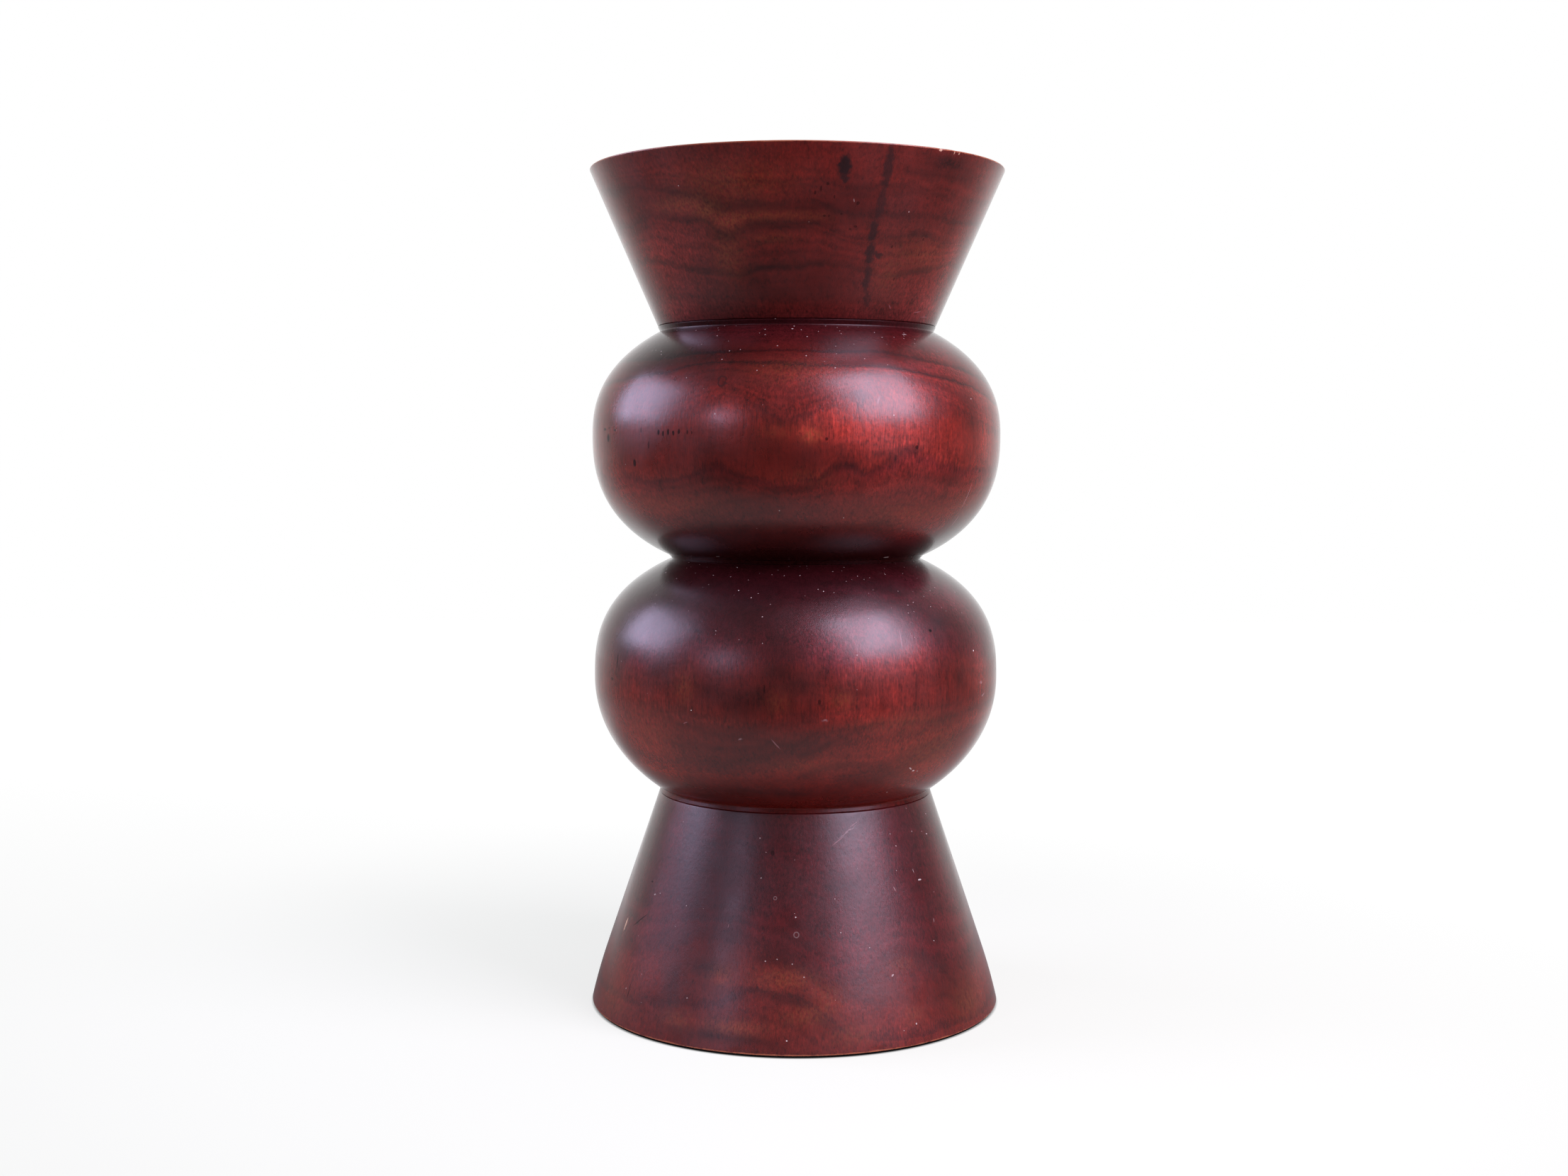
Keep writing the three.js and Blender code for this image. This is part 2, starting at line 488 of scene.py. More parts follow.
@dataclass(frozen=True)
class StainedWood(Finish):
    """Close-grained hardwood, spindle turned, dyed dark red and sealed with a satin lacquer.

    The dye sinks unevenly into early and late wood, so growth zones show as irregular dark and bright
    bands, the fibres run up the piece as fine streaks, and the lacquer gives soft broad highlights, by its
    mean roughness. The dye patches are where it sank in deep, or shallow where the amount is negative, and
    a few of them are painted light: painted highlights that brighten the wood under the softboxes'
    reflections, and painted light that lifts the shade at the bottom of the mouth's sides. veins are thin
    lines of the same, and gold is where tan wood shows through. corners are the heights of the joints, near
    which the lacquer mirrors less, as painted shade in the crevices between the pieces. brightness is the
    wood's mean level and darkest its lowest, as shares of its zone's colour. smear is how far the roughness
    strays, and shallow how much a shallow dye brightens red, green and blue.
    """

    name: str
    blank: Blank
    roughness: float
    dye_and_painted_light: tuple[Swell, ...] = ()
    veins: tuple[Vein, ...] = ()
    gold: tuple[Swell, ...] = ()
    marks: tuple[Mark, ...] = ()
    edges: tuple[WornEdge, ...] = ()
    corners: tuple[float, ...] = ()
    brightness: float = 1.12
    darkest: float = 0.3
    smear: float = 0.045
    shallow: tuple[float, float, float] = (2.6, 3.1, 3.3)
    deep_tint: str = "#6e4058"
    tan_tint: str = "#8e4a25"
    pore_tint: str = "#5a3434"
    worn_tint: str = "#9c5436"
    dust_tint: str = "#c4b0ab"

    def layers(self, turn: np.ndarray, height: np.ndarray) -> dict[str, np.ndarray]:
        """Gives the growth, the dye with its painted light, and the gold at each vertex.

        Args:
            turn: the vertices' turns in degrees.
            height: their heights in millimetres.

        Returns:
            The three amounts, by the names that the material reads.
        """
        return {
            "growth": grown(self.blank.lines, turn, height),
            "dye_and_painted_light": swollen(self.dye_and_painted_light, turn, height) + veined(self.veins, turn, height),
            "gold": swollen(self.gold, turn, height),
        }

    def grain(
        self, nodes: Nodes, place: bpy.types.Node, across: float, along: float, detail: float
    ) -> bpy.types.Node:
        """Adds the wood's unevenness at one size, drawn out along the fibres.

        Args:
            nodes: the material's nodes.
            place: the place in the tree, in millimetres.
            across: the size of a patch across the fibres, in millimetres.
            along: its size along them.
            detail: how many finer layers it has.

        Returns:
            The unevenness, from 0 to 1.
        """
        size = (1 / across, 1 / across, 1 / along)
        scaled = nodes.add("VectorMath", place, size, operation="MULTIPLY")
        return nodes.add("TexNoise", scaled, {"Scale": 1.0, "Detail": detail, "Roughness": 0.55})

    def growth(self, nodes: Nodes, place: bpy.types.Node) -> bpy.types.Node:
        """Adds the level of growth, with the unevenness that no ring lacks.

        Args:
            nodes: the material's nodes.
            place: the place in the tree, in millimetres.

        Returns:
            The level.
        """
        level = nodes.add("Attribute", attribute_name="growth").outputs["Fac"]
        # The trunk's wander over a hand's breadth, a ragged line within a finger's, and the comb of fibres
        layers = (
            (self.grain(nodes, place, 34, 60, 1), 7.0),
            (self.grain(nodes, place, 5, 8, 3), 3.5),
            (self.grain(nodes, place, 0.8, self.blank.fibre, 2), self.blank.comb),
        )
        for layer, amount in layers:
            off = nodes.add("Math", layer, 0.5, operation="SUBTRACT")
            level = nodes.add("Math", off, amount, level, operation="MULTIPLY_ADD")
        return level

    def zones(self, nodes: Nodes, level: bpy.types.Node) -> bpy.types.Node:
        """Adds the colour of the growth zones.

        Args:
            nodes: the material's nodes.
            level: the level of growth.

        Returns:
            The zones' colour.
        """
        zones = self.blank.zones
        first, last = zones[0][0], zones[-1][0]
        share = nodes.add("MapRange", level, {"From Min": first, "From Max": last})
        stops = [((at - first) / (last - first), linear(tint)) for at, tint in zones]
        return fill(nodes.add("ValToRGB", share), stops)

    def mark_masks(
        self, nodes: Nodes, here: bpy.types.Node, outline: "Side"
    ) -> dict[Blemish, bpy.types.Node]:
        """Adds a mask for each kind of mark.

        A mark is an ellipsoid about its place, so deep that only its width and length show. Its mask rises
        where the distance from its middle, in its own half sizes, drops under one.

        Args:
            nodes: the material's nodes.
            here: the place on the piece, in millimetres.
            outline: the piece's side, which gives each mark's radius and slope.

        Returns:
            The masks of the kinds that the piece has.
        """
        masks: dict[Blemish, bpy.types.Node] = {}
        for kind in Blemish:
            own = [mark for mark in self.marks if mark.kind is kind]
            if not own:
                continue
            bent = here
            if kind.ragged:
                # The edge wanders in waves about 2 mm long
                wobble = nodes.add("TexNoise", here, {"Scale": 0.45, "Detail": 3}).outputs["Color"]
                sway = (kind.ragged * 4,) * 3
                bent = nodes.add("VectorMath", wobble, sway, here, operation="MULTIPLY_ADD")
                bent = nodes.add("VectorMath", bent, (kind.ragged * 2,) * 3, operation="SUBTRACT")
            total: object = 0.0
            for mark in own:
                spot, turned_to = outline.stand(mark)
                size = (mark.width / 2, MARK_DEPTH, mark.length / 2)
                stance = {"Vector": bent, "Location": spot, "Rotation": turned_to, "Scale": size}
                local = nodes.add("Mapping", stance, vector_type="TEXTURE")
                reach = nodes.add("VectorMath", local, operation="LENGTH")
                if mark.hollow:
                    off = nodes.add("Math", reach, 0.8, operation="SUBTRACT")
                    off = nodes.add("Math", off, operation="ABSOLUTE")
                    reach = nodes.add("Math", off, 5.0, operation="MULTIPLY")
                ends = {"From Min": 1.0, "From Max": 1.0 - kind.soft, "To Max": mark.strength}
                shown = nodes.add("MapRange", reach, ends, **SOFT)
                total = nodes.add("Math", shown, total, operation="MAXIMUM")
            masks[kind] = total
        return masks

    def timber(
        self, nodes: Nodes, place: bpy.types.Node, fibre: bpy.types.Node, pore: bpy.types.Node
    ) -> bpy.types.Node:
        """Adds the colour of the dyed wood, with the painted light among its dye patches, before anything has
        happened to it.

        Args:
            nodes: the material's nodes.
            place: the place in the tree, in millimetres.
            fibre: the streaks of the fibres, from 0 to 1.
            pore: how open a pore is, from 0 to 1.

        Returns:
            The colour.
        """
        level = self.growth(nodes, place)
        colour = self.zones(nodes, level)
        mottle = self.grain(nodes, place, 1.3, 1.9, 3)
        # How bright the wood is at a place: ring lines a millimetre or two of growth apart, single fibres and
        # bundles of them, clouds of uneven soak and a fine mottle
        count = nodes.add("Math", level, 1 / 1.9, operation="MULTIPLY")
        shades = (
            (nodes.add("TexNoise", {"W": count, "Scale": 1.0, "Detail": 3}, noise_dimensions="1D"), 0.9),
            (fibre, 1.5),
            (self.grain(nodes, place, 2.2, self.blank.fibre * 2.5, 2), 0.8),
            (self.grain(nodes, place, 14, 20, 5), 0.9),
            (mottle, 1.3),
        )
        shade: object = self.brightness - sum(amount for _, amount in shades) / 2
        for layer, amount in shades:
            shade = nodes.add("Math", layer, amount, shade, operation="MULTIPLY_ADD")
        shade = nodes.add("Math", shade, self.darkest, operation="MAXIMUM")
        colour = nodes.add("VectorMath", colour, {"Scale": shade}, operation="SCALE")

        # Dye sinks along the fibres, so its patches have fibrous edges, and the painted highlights and
        # painted light among them get the same edges
        ragged = nodes.add("Math", fibre, mottle, operation="ADD")
        ragged = nodes.add("Math", ragged, 1.6, -0.6, operation="MULTIPLY_ADD")
        dye_and_painted_light = nodes.add("Attribute", attribute_name="dye_and_painted_light").outputs["Fac"]
        dye_and_painted_light = nodes.add("Math", dye_and_painted_light, ragged, operation="MULTIPLY")
        soaked = {"Factor": dye_and_painted_light, "A": colour, "B": linear(self.deep_tint)}
        colour = nodes.add("Mix", soaked, data_type="RGBA", blend_type="MULTIPLY")
        # A negative amount lifts the colour: shallow dye, and the painted highlights and painted light among
        # the patches
        shallow_dye_and_painted_light = nodes.add("Math", dye_and_painted_light, -1.0, operation="MULTIPLY")
        lifted = nodes.add("VectorMath", colour, self.shallow, operation="MULTIPLY")
        colour = nodes.add("Mix", {"Factor": shallow_dye_and_painted_light, "A": colour, "B": lifted}, data_type="RGBA")

        # Tan wood shows through in flecks of 1 mm by 2 mm
        gold = nodes.add("Attribute", attribute_name="gold").outputs["Fac"]
        fleck = self.grain(nodes, place, 0.9, 2.0, 2)
        fleck = nodes.add("MapRange", fleck, {"From Min": 0.3, "From Max": 0.68}, **SOFT)
        fleck = nodes.add("Math", fleck, gold, operation="MULTIPLY")
        flecked = {"Factor": fleck, "A": colour, "B": linear(self.tan_tint)}
        colour = nodes.add("Mix", flecked, data_type="RGBA")

        shade = nodes.add("Math", pore, 0.5, operation="MULTIPLY")
        porous = {"Factor": shade, "A": colour, "B": linear(self.pore_tint)}
        return nodes.add("Mix", porous, data_type="RGBA", blend_type="MULTIPLY")

    def worn(
        self, nodes: Nodes, colour: bpy.types.Node, place: bpy.types.Node, here: bpy.types.Node
    ) -> bpy.types.Node:
        """Adds the edges where the stain is worn away.

        Args:
            nodes: the material's nodes.
            colour: the colour below.
            place: the place in the tree, in millimetres.
            here: the place on the piece, in millimetres.

        Returns:
            The colour with the worn edges.
        """
        section = self.section(nodes, here)
        rub = nodes.add("TexNoise", place, {"Scale": 1 / 5.5, "Detail": 4, "Roughness": 0.65})
        for edge in self.edges:
            ring = (edge.radius, edge.height, 0)
            off = nodes.add("VectorMath", section, ring, operation="DISTANCE")
            near = nodes.add("MapRange", off, {"From Min": edge.reach, "From Max": 0.0}, **SOFT)
            worn = nodes.add("Math", near, edge.amount, rub, operation="MULTIPLY_ADD")
            worn = nodes.add("MapRange", worn, {"From Min": 0.72, "From Max": 0.95}, **SOFT)
            worn = nodes.add("Math", worn, near, operation="MULTIPLY")
            rubbed = {"Factor": worn, "A": colour, "B": linear(self.worn_tint)}
            colour = nodes.add("Mix", rubbed, data_type="RGBA")
        return colour

    def dusty(self, nodes: Nodes, colour: bpy.types.Node, place: bpy.types.Node) -> bpy.types.Node:
        """Adds dust that has settled as specks up to 0.6 mm across, most of it where the surface faces up.

        Args:
            nodes: the material's nodes.
            colour: the colour below.
            place: the place in the tree, in millimetres.

        Returns:
            The colour with the dust.
        """
        cells = nodes.add("TexVoronoi", place, {"Scale": 1 / 2.6})
        draw = nodes.add("SeparateXYZ", cells.outputs["Color"])
        size = nodes.add("MapRange", draw.outputs["Y"], {"To Min": 0.05, "To Max": 0.12})
        speck = nodes.add("Math", cells.outputs["Distance"], size, operation="LESS_THAN")
        normal = nodes.add("SeparateXYZ", nodes.add("NewGeometry").outputs["Normal"])
        share = nodes.add("MapRange", normal.outputs["Z"], {"From Min": 0.1, "From Max": 0.95})
        share = nodes.add("Math", share, 2.2, operation="POWER")
        share = nodes.add("Math", share, 0.85, 0.006, operation="MULTIPLY_ADD")
        lies = nodes.add("Math", draw.outputs["X"], share, operation="LESS_THAN")
        speck = nodes.add("Math", speck, lies, operation="MULTIPLY")
        speck = nodes.add("Math", speck, 0.7, operation="MULTIPLY")
        dusted = {"Factor": speck, "A": colour, "B": linear(self.dust_tint)}
        return nodes.add("Mix", dusted, data_type="RGBA")

    def gloss(self, nodes: Nodes, place: bpy.types.Node) -> bpy.types.Node:
        """Adds the lacquer's roughness, with smears some 16 mm across.

        Args:
            nodes: the material's nodes.
            place: the place in the tree, in millimetres.

        Returns:
            The roughness.
        """
        smear = nodes.add("TexNoise", place, {"Scale": 1 / 16, "Detail": 4})
        least, most = self.roughness - self.smear, self.roughness + self.smear
        ends = {"From Min": 0.3, "From Max": 0.7, "To Min": least, "To Max": most}
        gloss = nodes.add("MapRange", smear, ends)
        # A satin lacquer looks smoother the flatter it is seen
        facing = nodes.add("LayerWeight", 0.5).outputs["Facing"]
        ends = {"From Min": 0.45, "From Max": 0.85, "To Min": 1.0, "To Max": 0.34}
        flatter = nodes.add("MapRange", facing, ends)
        return nodes.add("Math", gloss, flatter, operation="MULTIPLY")

    def sheen(self, nodes: Nodes, here: bpy.types.Node, pits: bpy.types.Node) -> bpy.types.Node:
        """Adds how much light the lacquer mirrors: less in pits, and less near a joint, as painted shade in
        the crevices.

        Args:
            nodes: the material's nodes.
            here: the place on the piece, in millimetres.
            pits: the mask of the pits.

        Returns:
            The specular level, which is 0.5 on lacquer away from pits and joints.
        """
        sheen = nodes.add("Math", pits, -0.3, 0.5, operation="MULTIPLY_ADD")
        height = nodes.add("SeparateXYZ", here).outputs["Z"]
        # Painted shade: within 12 mm of each joint the lacquer mirrors down to 0.4 of its light, so the
        # crevices between the pieces look darker
        for corner in self.corners:
            off = nodes.add("Math", height, corner, operation="SUBTRACT")
            off = nodes.add("Math", off, operation="ABSOLUTE")
            joint_shade = nodes.add("MapRange", off, {"From Min": 1.0, "From Max": 12.0, "To Min": 0.4}, **SOFT)
            sheen = nodes.add("Math", sheen, joint_shade, operation="MULTIPLY")
        return sheen

    def surface(self, nodes: Nodes, here: bpy.types.Node, outline: "Side") -> dict[str, object]:
        """Dresses the piece from the wood out to the lacquer.

        Args:
            nodes: the material's nodes.
            here: the place on the piece, in millimetres.
            outline: the side of the piece.

        Returns:
            The inputs of the surface.
        """
        place = nodes.add("VectorMath", here, self.blank.lot, operation="ADD")
        # Fibres 0.6 mm across, and open pores 0.5 mm across and 2 mm long
        fibre = self.grain(nodes, place, 0.6, self.blank.fibre, 2)
        pore = self.grain(nodes, place, 0.5, 2.0, 1)
        pore = nodes.add("MapRange", pore, {"From Min": 0.64, "From Max": 0.76}, **SOFT)
        colour = self.worn(nodes, self.timber(nodes, place, fibre, pore), place, here)
        masks = self.mark_masks(nodes, here, outline)
        for kind, mask in masks.items():
            marked = {"Factor": mask, "A": colour, "B": linear(kind.tint)}
            colour = nodes.add("Mix", marked, data_type="RGBA")
        # The lacquer sinks a little into the pores, and lies in an orange peel with waves of 2.2 mm
        peel = nodes.add("TexNoise", place, {"Scale": 1 / 2.2, "Detail": 3})
        relief = nodes.add("Math", pore, -0.35, peel, operation="MULTIPLY_ADD")
        relief = nodes.add("Math", fibre, 0.6, relief, operation="MULTIPLY_ADD")
        return {
            "Base Color": self.dusty(nodes, colour, place),
            "Roughness": self.gloss(nodes, place),
            "IOR": 1.6,
            "Specular IOR Level": self.sheen(nodes, here, masks[Blemish.PIT]),
            "Normal": nodes.add("Bump", {"Height": relief, "Distance": 0.04 * MM, "Strength": 1.0}),
        }


@dataclass(frozen=True)
class TurnedBeech(Finish):
    """Bare beech, turned and left from the tool: pale tan, with short dark rays that catch no light."""

    name: str = "turned_beech"
    tint: str = "#c9a379"
    ray_tint: str = "#9c7048"

    def surface(self, nodes: Nodes, here: bpy.types.Node, outline: "Side") -> dict[str, object]:
        """Dresses the piece.

        Args:
            nodes: the material's nodes.
            here: the place on the piece, in millimetres.
            outline: not used, because beech is dressed the same on every side.

        Returns:
            The inputs of the surface.
        """
        # Rays 0.4 mm wide and 3 mm long along the fibres
        rays = nodes.add("Mapping", here, {"Scale": (1 / 0.4, 1 / 0.4, 1 / 3)})
        rays = nodes.add("TexNoise", rays, {"Scale": 1.0, "Detail": 2})
        tone = nodes.add("MapRange", rays, {"From Min": 0.5, "From Max": 0.7})
        tones = {"Factor": tone, "A": linear(self.tint), "B": linear(self.ray_tint)}
        return {"Base Color": nodes.add("Mix", tones, data_type="RGBA"), "Roughness": 0.7, "IOR": 1.5}


@dataclass(frozen=True)
class SpunAluminium(Finish):
    """Aluminium spun over a former and brushed: soft grey metal with fine rings round its axis."""

    name: str = "spun_aluminium"
    tint: str = "#c4c6c8"

    def surface(self, nodes: Nodes, here: bpy.types.Node, outline: "Side") -> dict[str, object]:
        """Dresses the piece.

        Args:
            nodes: the material's nodes.
            here: the place on the piece, in millimetres.
            outline: not used, because the metal is dressed the same on every side.

        Returns:
            The inputs of the surface.
        """
        section = self.section(nodes, here)
        # Brush lines 0.25 mm apart run round, so they depend on radius and height alone
        lines = nodes.add("TexNoise", section, {"Scale": 1 / 0.25, "Detail": 2})
        # Passes of the brush are about 12 mm wide
        passes = nodes.add("TexNoise", section, {"Scale": 1 / 12, "Detail": 4})
        ends = {"From Min": 0.3, "From Max": 0.7, "To Min": 0.29, "To Max": 0.37}
        gloss = nodes.add("MapRange", passes, ends)
        bump = nodes.add("Bump", {"Height": lines, "Distance": 0.01 * MM, "Strength": 1.0})
        return {"Base Color": linear(self.tint), "Metallic": 1.0, "Roughness": gloss, "Normal": bump}


@dataclass(frozen=True)
class PressedFelt(Finish):
    """Pressed wool felt, dyed black: no gloss, with a fine tangle of fibres and paler lint."""

    name: str = "pressed_felt"
    tint: str = "#100f10"
    lint_tint: str = "#2e2b2d"

    def surface(self, nodes: Nodes, here: bpy.types.Node, outline: "Side") -> dict[str, object]:
        """Dresses the piece.

        Args:
            nodes: the material's nodes.
            here: the place on the piece, in millimetres.
            outline: not used, because felt is dressed the same on every side.

        Returns:
            The inputs of the surface.
        """
        # The tangle of fibres is 0.5 mm wide
        tangle = nodes.add("TexNoise", here, {"Scale": 1 / 0.5, "Detail": 4, "Distortion": 2.0})
        tone = nodes.add("MapRange", tangle, {"From Min": 0.35, "From Max": 0.75})
        tones = {"Factor": tone, "A": linear(self.tint), "B": linear(self.lint_tint)}
        colour = nodes.add("Mix", tones, data_type="RGBA")
        bump = nodes.add("Bump", {"Height": tangle, "Distance": 0.2 * MM, "Strength": 1.0})
        return {"Base Color": colour, "Roughness": 0.95, "Normal": bump}


@dataclass(frozen=True)
class Side:
    """The outside of a turned piece, as radii and heights that run up it, in millimetres."""

    points: np.ndarray

    def stand(self, mark: Mark) -> tuple[tuple[float, float, float], tuple[float, float, float]]:
        """Finds where a mark stands and how it is turned.

        The mark's own axes are the girth, the way in along the surface's normal, and the way up the side.

        Args:
            mark: the mark.

        Returns:
            Its place in millimetres and its Euler angles.
        """
        radii, heights = self.points.T
        radius = float(np.interp(mark.height, heights, radii))
        over, under = (float(np.interp(mark.height + d, heights, radii)) for d in (0.5, -0.5))
        rise, turn = math.atan2(under - over, 1.0), math.radians(mark.turn)
        lean = Matrix.Rotation(math.radians(mark.lean), 3, "Y")
        turned_to = Matrix.Rotation(turn, 3, "Z") @ Matrix.Rotation(-rise, 3, "X") @ lean
        spot = (radius * math.sin(turn), -radius * math.cos(turn), mark.height)
        return spot, tuple(turned_to.to_euler("XYZ"))


@dataclass
class TurnedPiece:
    """A solid turned about the vase's axis, which stands for one CAD node.

    Its dents are dimples in the outside, in millimetres of depth. Its shrinkage is how much narrower it has
    become across the grain than along its widest way, as wood does after turning. outside_from is the share
    of its largest radius from which a place counts as outside for the dents.
    """

    node: str
    slot: str
    finish: Finish
    body: str = "vase"
    steps: int = 400
    dents: tuple[Swell, ...] = ()
    shrinkage: float = 0.0
    widest_turn: float = 0.0
    outside_from: float = 0.94

    @property
    def span(self) -> Span:
        """Where the CAD node stands."""
        return Span.of(self.node)

    def side(self) -> np.ndarray:
        """Gives the radii and heights of the part that can be seen, running up the outside."""
        raise NotImplementedError

    def inside(self) -> np.ndarray:
        """Gives the rest, from the top of the side back to its start: nothing, where the side is closed."""
        return np.empty((0, 2))

    def worked(self, radius: np.ndarray, height: np.ndarray, turn: np.ndarray) -> np.ndarray:
        """Bends the true turned shape, as shrinkage and knocks do.

        A radius r becomes r (1 - shrinkage sin^2(t - widest_turn)), less the dents where it is on the
        outside.

        Args:
            radius: the turned radii.
            height: the heights.
            turn: the turns in degrees.

        Returns:
            The worked radii.
        """
        across = np.sin(np.radians(turn - self.widest_turn)) ** 2
        outside = radius > self.outside_from * radius.max()
        return radius * (1 - self.shrinkage * across) - outside * swollen(self.dents, turn, height)

    def build(self) -> bpy.types.Object:
        """Builds, places and dresses the piece.

        Point i of the outline at the turn t becomes (r sin t, -r cos t, z). A solid piece has two points
        on its axis, each one vertex closed by a fan of triangles. A ring's outline closes on itself.

        Returns:
            The piece's object.
        """
        side = self.side()
        outline = np.vstack([side, self.inside()])
        outline = outline[np.linalg.norm(outline - np.roll(outline, 1, axis=0), axis=1) > TINY]
        on_axis = np.flatnonzero(outline[:, 0] < TINY)
        solid = len(on_axis) > 0
        if solid:
            outline = np.roll(outline, -on_axis[-1], axis=0)
        poles = outline[[0, -1]]
        rings = outline[1:-1] if solid else outline

        turn = np.tile(np.arange(self.steps) * 360 / self.steps, len(rings))
        radius, height = (np.repeat(column, self.steps) for column in rings.T)
        radius = self.worked(radius, height, turn)
        angle = np.radians(turn)
        places = np.column_stack([radius * np.sin(angle), -radius * np.cos(angle), height])

        index = np.arange(len(places)).reshape(len(rings), self.steps)
        lower = index[:-1] if solid else index
        upper = index[1:] if solid else np.roll(index, -1, axis=0)
        corners = (lower, np.roll(lower, -1, axis=1), np.roll(upper, -1, axis=1), upper)
        faces = np.stack(corners, axis=-1).reshape(-1, 4).tolist()
        if solid:
            first, last = index[0], index[-1]
            faces += np.column_stack([np.roll(first, -1), first, np.full_like(first, len(places))]).tolist()
            faces += np.column_stack([last, np.roll(last, -1), np.full_like(last, len(places) + 1)]).tolist()
            places = np.vstack([places, np.column_stack([[0, 0], poles])])

        mesh = bpy.data.meshes.new(self.node)
        mesh.from_pydata((places * MM).tolist(), [], faces)
        mesh.polygons.foreach_set("use_smooth", np.ones(len(mesh.polygons), bool))
        mesh.set_sharp_from_angle(angle=math.radians(EDGE_ANGLE))
        turns = np.degrees(np.arctan2(places[:, 0], -places[:, 1]))
        for name, amounts in self.finish.layers(turns, places[:, 2]).items():
            mesh.attributes.new(name, "FLOAT", "POINT").data.foreach_set("value", amounts.astype(np.float32))
        outside = Side(side[: side[:, 1].argmax() + 1])
        mesh.materials.append(bpy.data.materials.get(self.finish.name) or self.finish.build(outside))
        mesh.update()

        piece = bpy.data.objects.new(self.node + "_turned", mesh)
        bpy.context.scene.collection.objects.link(piece)
        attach(piece, self.body)
        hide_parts(self.node)
        log.info("%s: %d faces, from %.1f mm to %.1f mm", piece.name, len(faces), height.min(), height.max())
        return piece


@dataclass(frozen=True)
class Joints:
    """The sizes that the glued joints share, in millimetres."""

    groove: float = 0.28
    bore_radius: float = 27.75
    ring_socket_radius: float = 42.15
    ring_socket_depth: float = 11.6
    foot_socket_radius: float = 25.2
    foot_socket_depth: float = 25.1
    web_over_foot_tenon: float = 15.0
    liner_seat: float = 19.0


JOINTS = Joints()


@dataclass(frozen=True)
class Collar:
    """The narrow band next to a joint: its radius at the joint, and the corner where the belly begins.

    The softness rounds that corner.
    """

    joint_radius: float
    corner_radius: float
    height: float
    softness: float

    def rows(self, level: float, upward: int) -> np.ndarray:
        """Gives the band's corners, from the joint on.

        Args:
            level: the joint's height.
            upward: 1 where the belly is above the joint, -1 where it is under it.

        Returns:
            Rows of radius, height and softness.
        """
        groove = JOINTS.groove
        rows = [
            [self.joint_radius - groove, level, 0],
            [self.joint_radius, level + upward * groove, 0.1],
            [self.corner_radius, level + upward * self.height, self.softness],
        ]
        return np.array(rows if self.height > groove else rows[:1] + rows[2:])


@dataclass
class Foot(TurnedPiece):
    """The solid conical foot, whose side rolls in a little towards its bottom edge."""

    top_radius: float = 65.9
    roll_height: float = 25.0
    roll_width: float = 1.35
    chuck_radius: float = 30.0
    chuck_depth: float = 4.0
    roll_points: int = 18
    underside_start: float = 3.0

    def side(self) -> np.ndarray:
        """Gives the outside.

        At a height h it is the cone's straight line, less roll_width (1 - h / roll_height)^2 where h is
        under roll_height.

        Returns:
            The radii and heights.
        """
        span = self.span
        straight = span.radius + self.roll_width
        slope = (self.top_radius - straight) / (span.top - span.bottom)
        up = np.linspace(0, self.roll_height, self.roll_points)
        roll = straight + slope * up - self.roll_width * (1 - up / self.roll_height) ** 2
        groove = JOINTS.groove
        corners = (
            [roll[0] - self.underside_start, span.bottom, 0],
            [roll[0], span.bottom, 0.6],
            sharp(np.column_stack([roll, span.bottom + up])[1:]),
            [self.top_radius - slope * groove, span.top - groove, 0.15],
            [self.top_radius - groove, span.top, 0],
        )
        return spaced(softened(np.vstack(corners)), FINE)

    def inside(self) -> np.ndarray:
        """Gives the top face, the tenon's socket, and the underside with its chuck recess.

        Returns:
            The radii and heights.
        """
        span, socket = self.span, JOINTS.foot_socket_radius
        socket_floor = span.top - JOINTS.foot_socket_depth
        recess = span.bottom + self.chuck_depth
        upper = spaced(np.array([[socket, span.top], [socket, socket_floor], [0, socket_floor]]), COARSE)
        lower = np.array([[0, recess], [self.chuck_radius, recess], [self.chuck_radius, span.bottom]])
        return np.vstack([upper, spaced(lower, COARSE)])


@dataclass(kw_only=True)
class Belly(TurnedPiece):
    """A round belly: one superellipse under its widest ring and one over it, with a collar at each end."""

    widest_height: float
    below: HalfBelly
    above: HalfBelly
    bottom_collar: Collar
    top_collar: Collar

    def side(self) -> np.ndarray:
        """Gives the outside, from the joint under the belly to the joint over it.

        Returns:
            The radii and heights.
        """
        span = self.span
        start = self.bottom_collar.rows(span.bottom, 1)
        end = self.top_collar.rows(span.top, -1)[::-1]
        widest = (span.radius, span.bottom + self.widest_height)
        lower = self.below.curve(widest, start[-1, :2], FINE)[::-1]
        upper = self.above.curve(widest, end[0, :2], FINE)
        return spaced(softened(np.vstack([start, sharp(lower[1:]), sharp(upper[1:-1]), end])), FINE)


@dataclass
class LowerBelly(Belly):
    """The lower belly, with a blind socket below for the foot's tenon and a blind bore for the liner."""

    def inside(self) -> np.ndarray:
        """Gives the ring socket, the bore, and the foot tenon's socket.

        Returns:
            The radii and heights.
        """
        span, ring, bore = self.span, JOINTS.ring_socket_radius, JOINTS.bore_radius
        socket, socket_top = JOINTS.foot_socket_radius, span.bottom + JOINTS.foot_socket_depth
        shoulder = span.top - JOINTS.ring_socket_depth
        floor = socket_top + JOINTS.web_over_foot_tenon
        upper = np.array([[ring, span.top], [ring, shoulder], [bore, shoulder], [bore, floor], [0, floor]])
        lower = np.array([[0, socket_top], [socket, socket_top], [socket, span.bottom]])
        return np.vstack([spaced(upper, COARSE), spaced(lower, COARSE)])


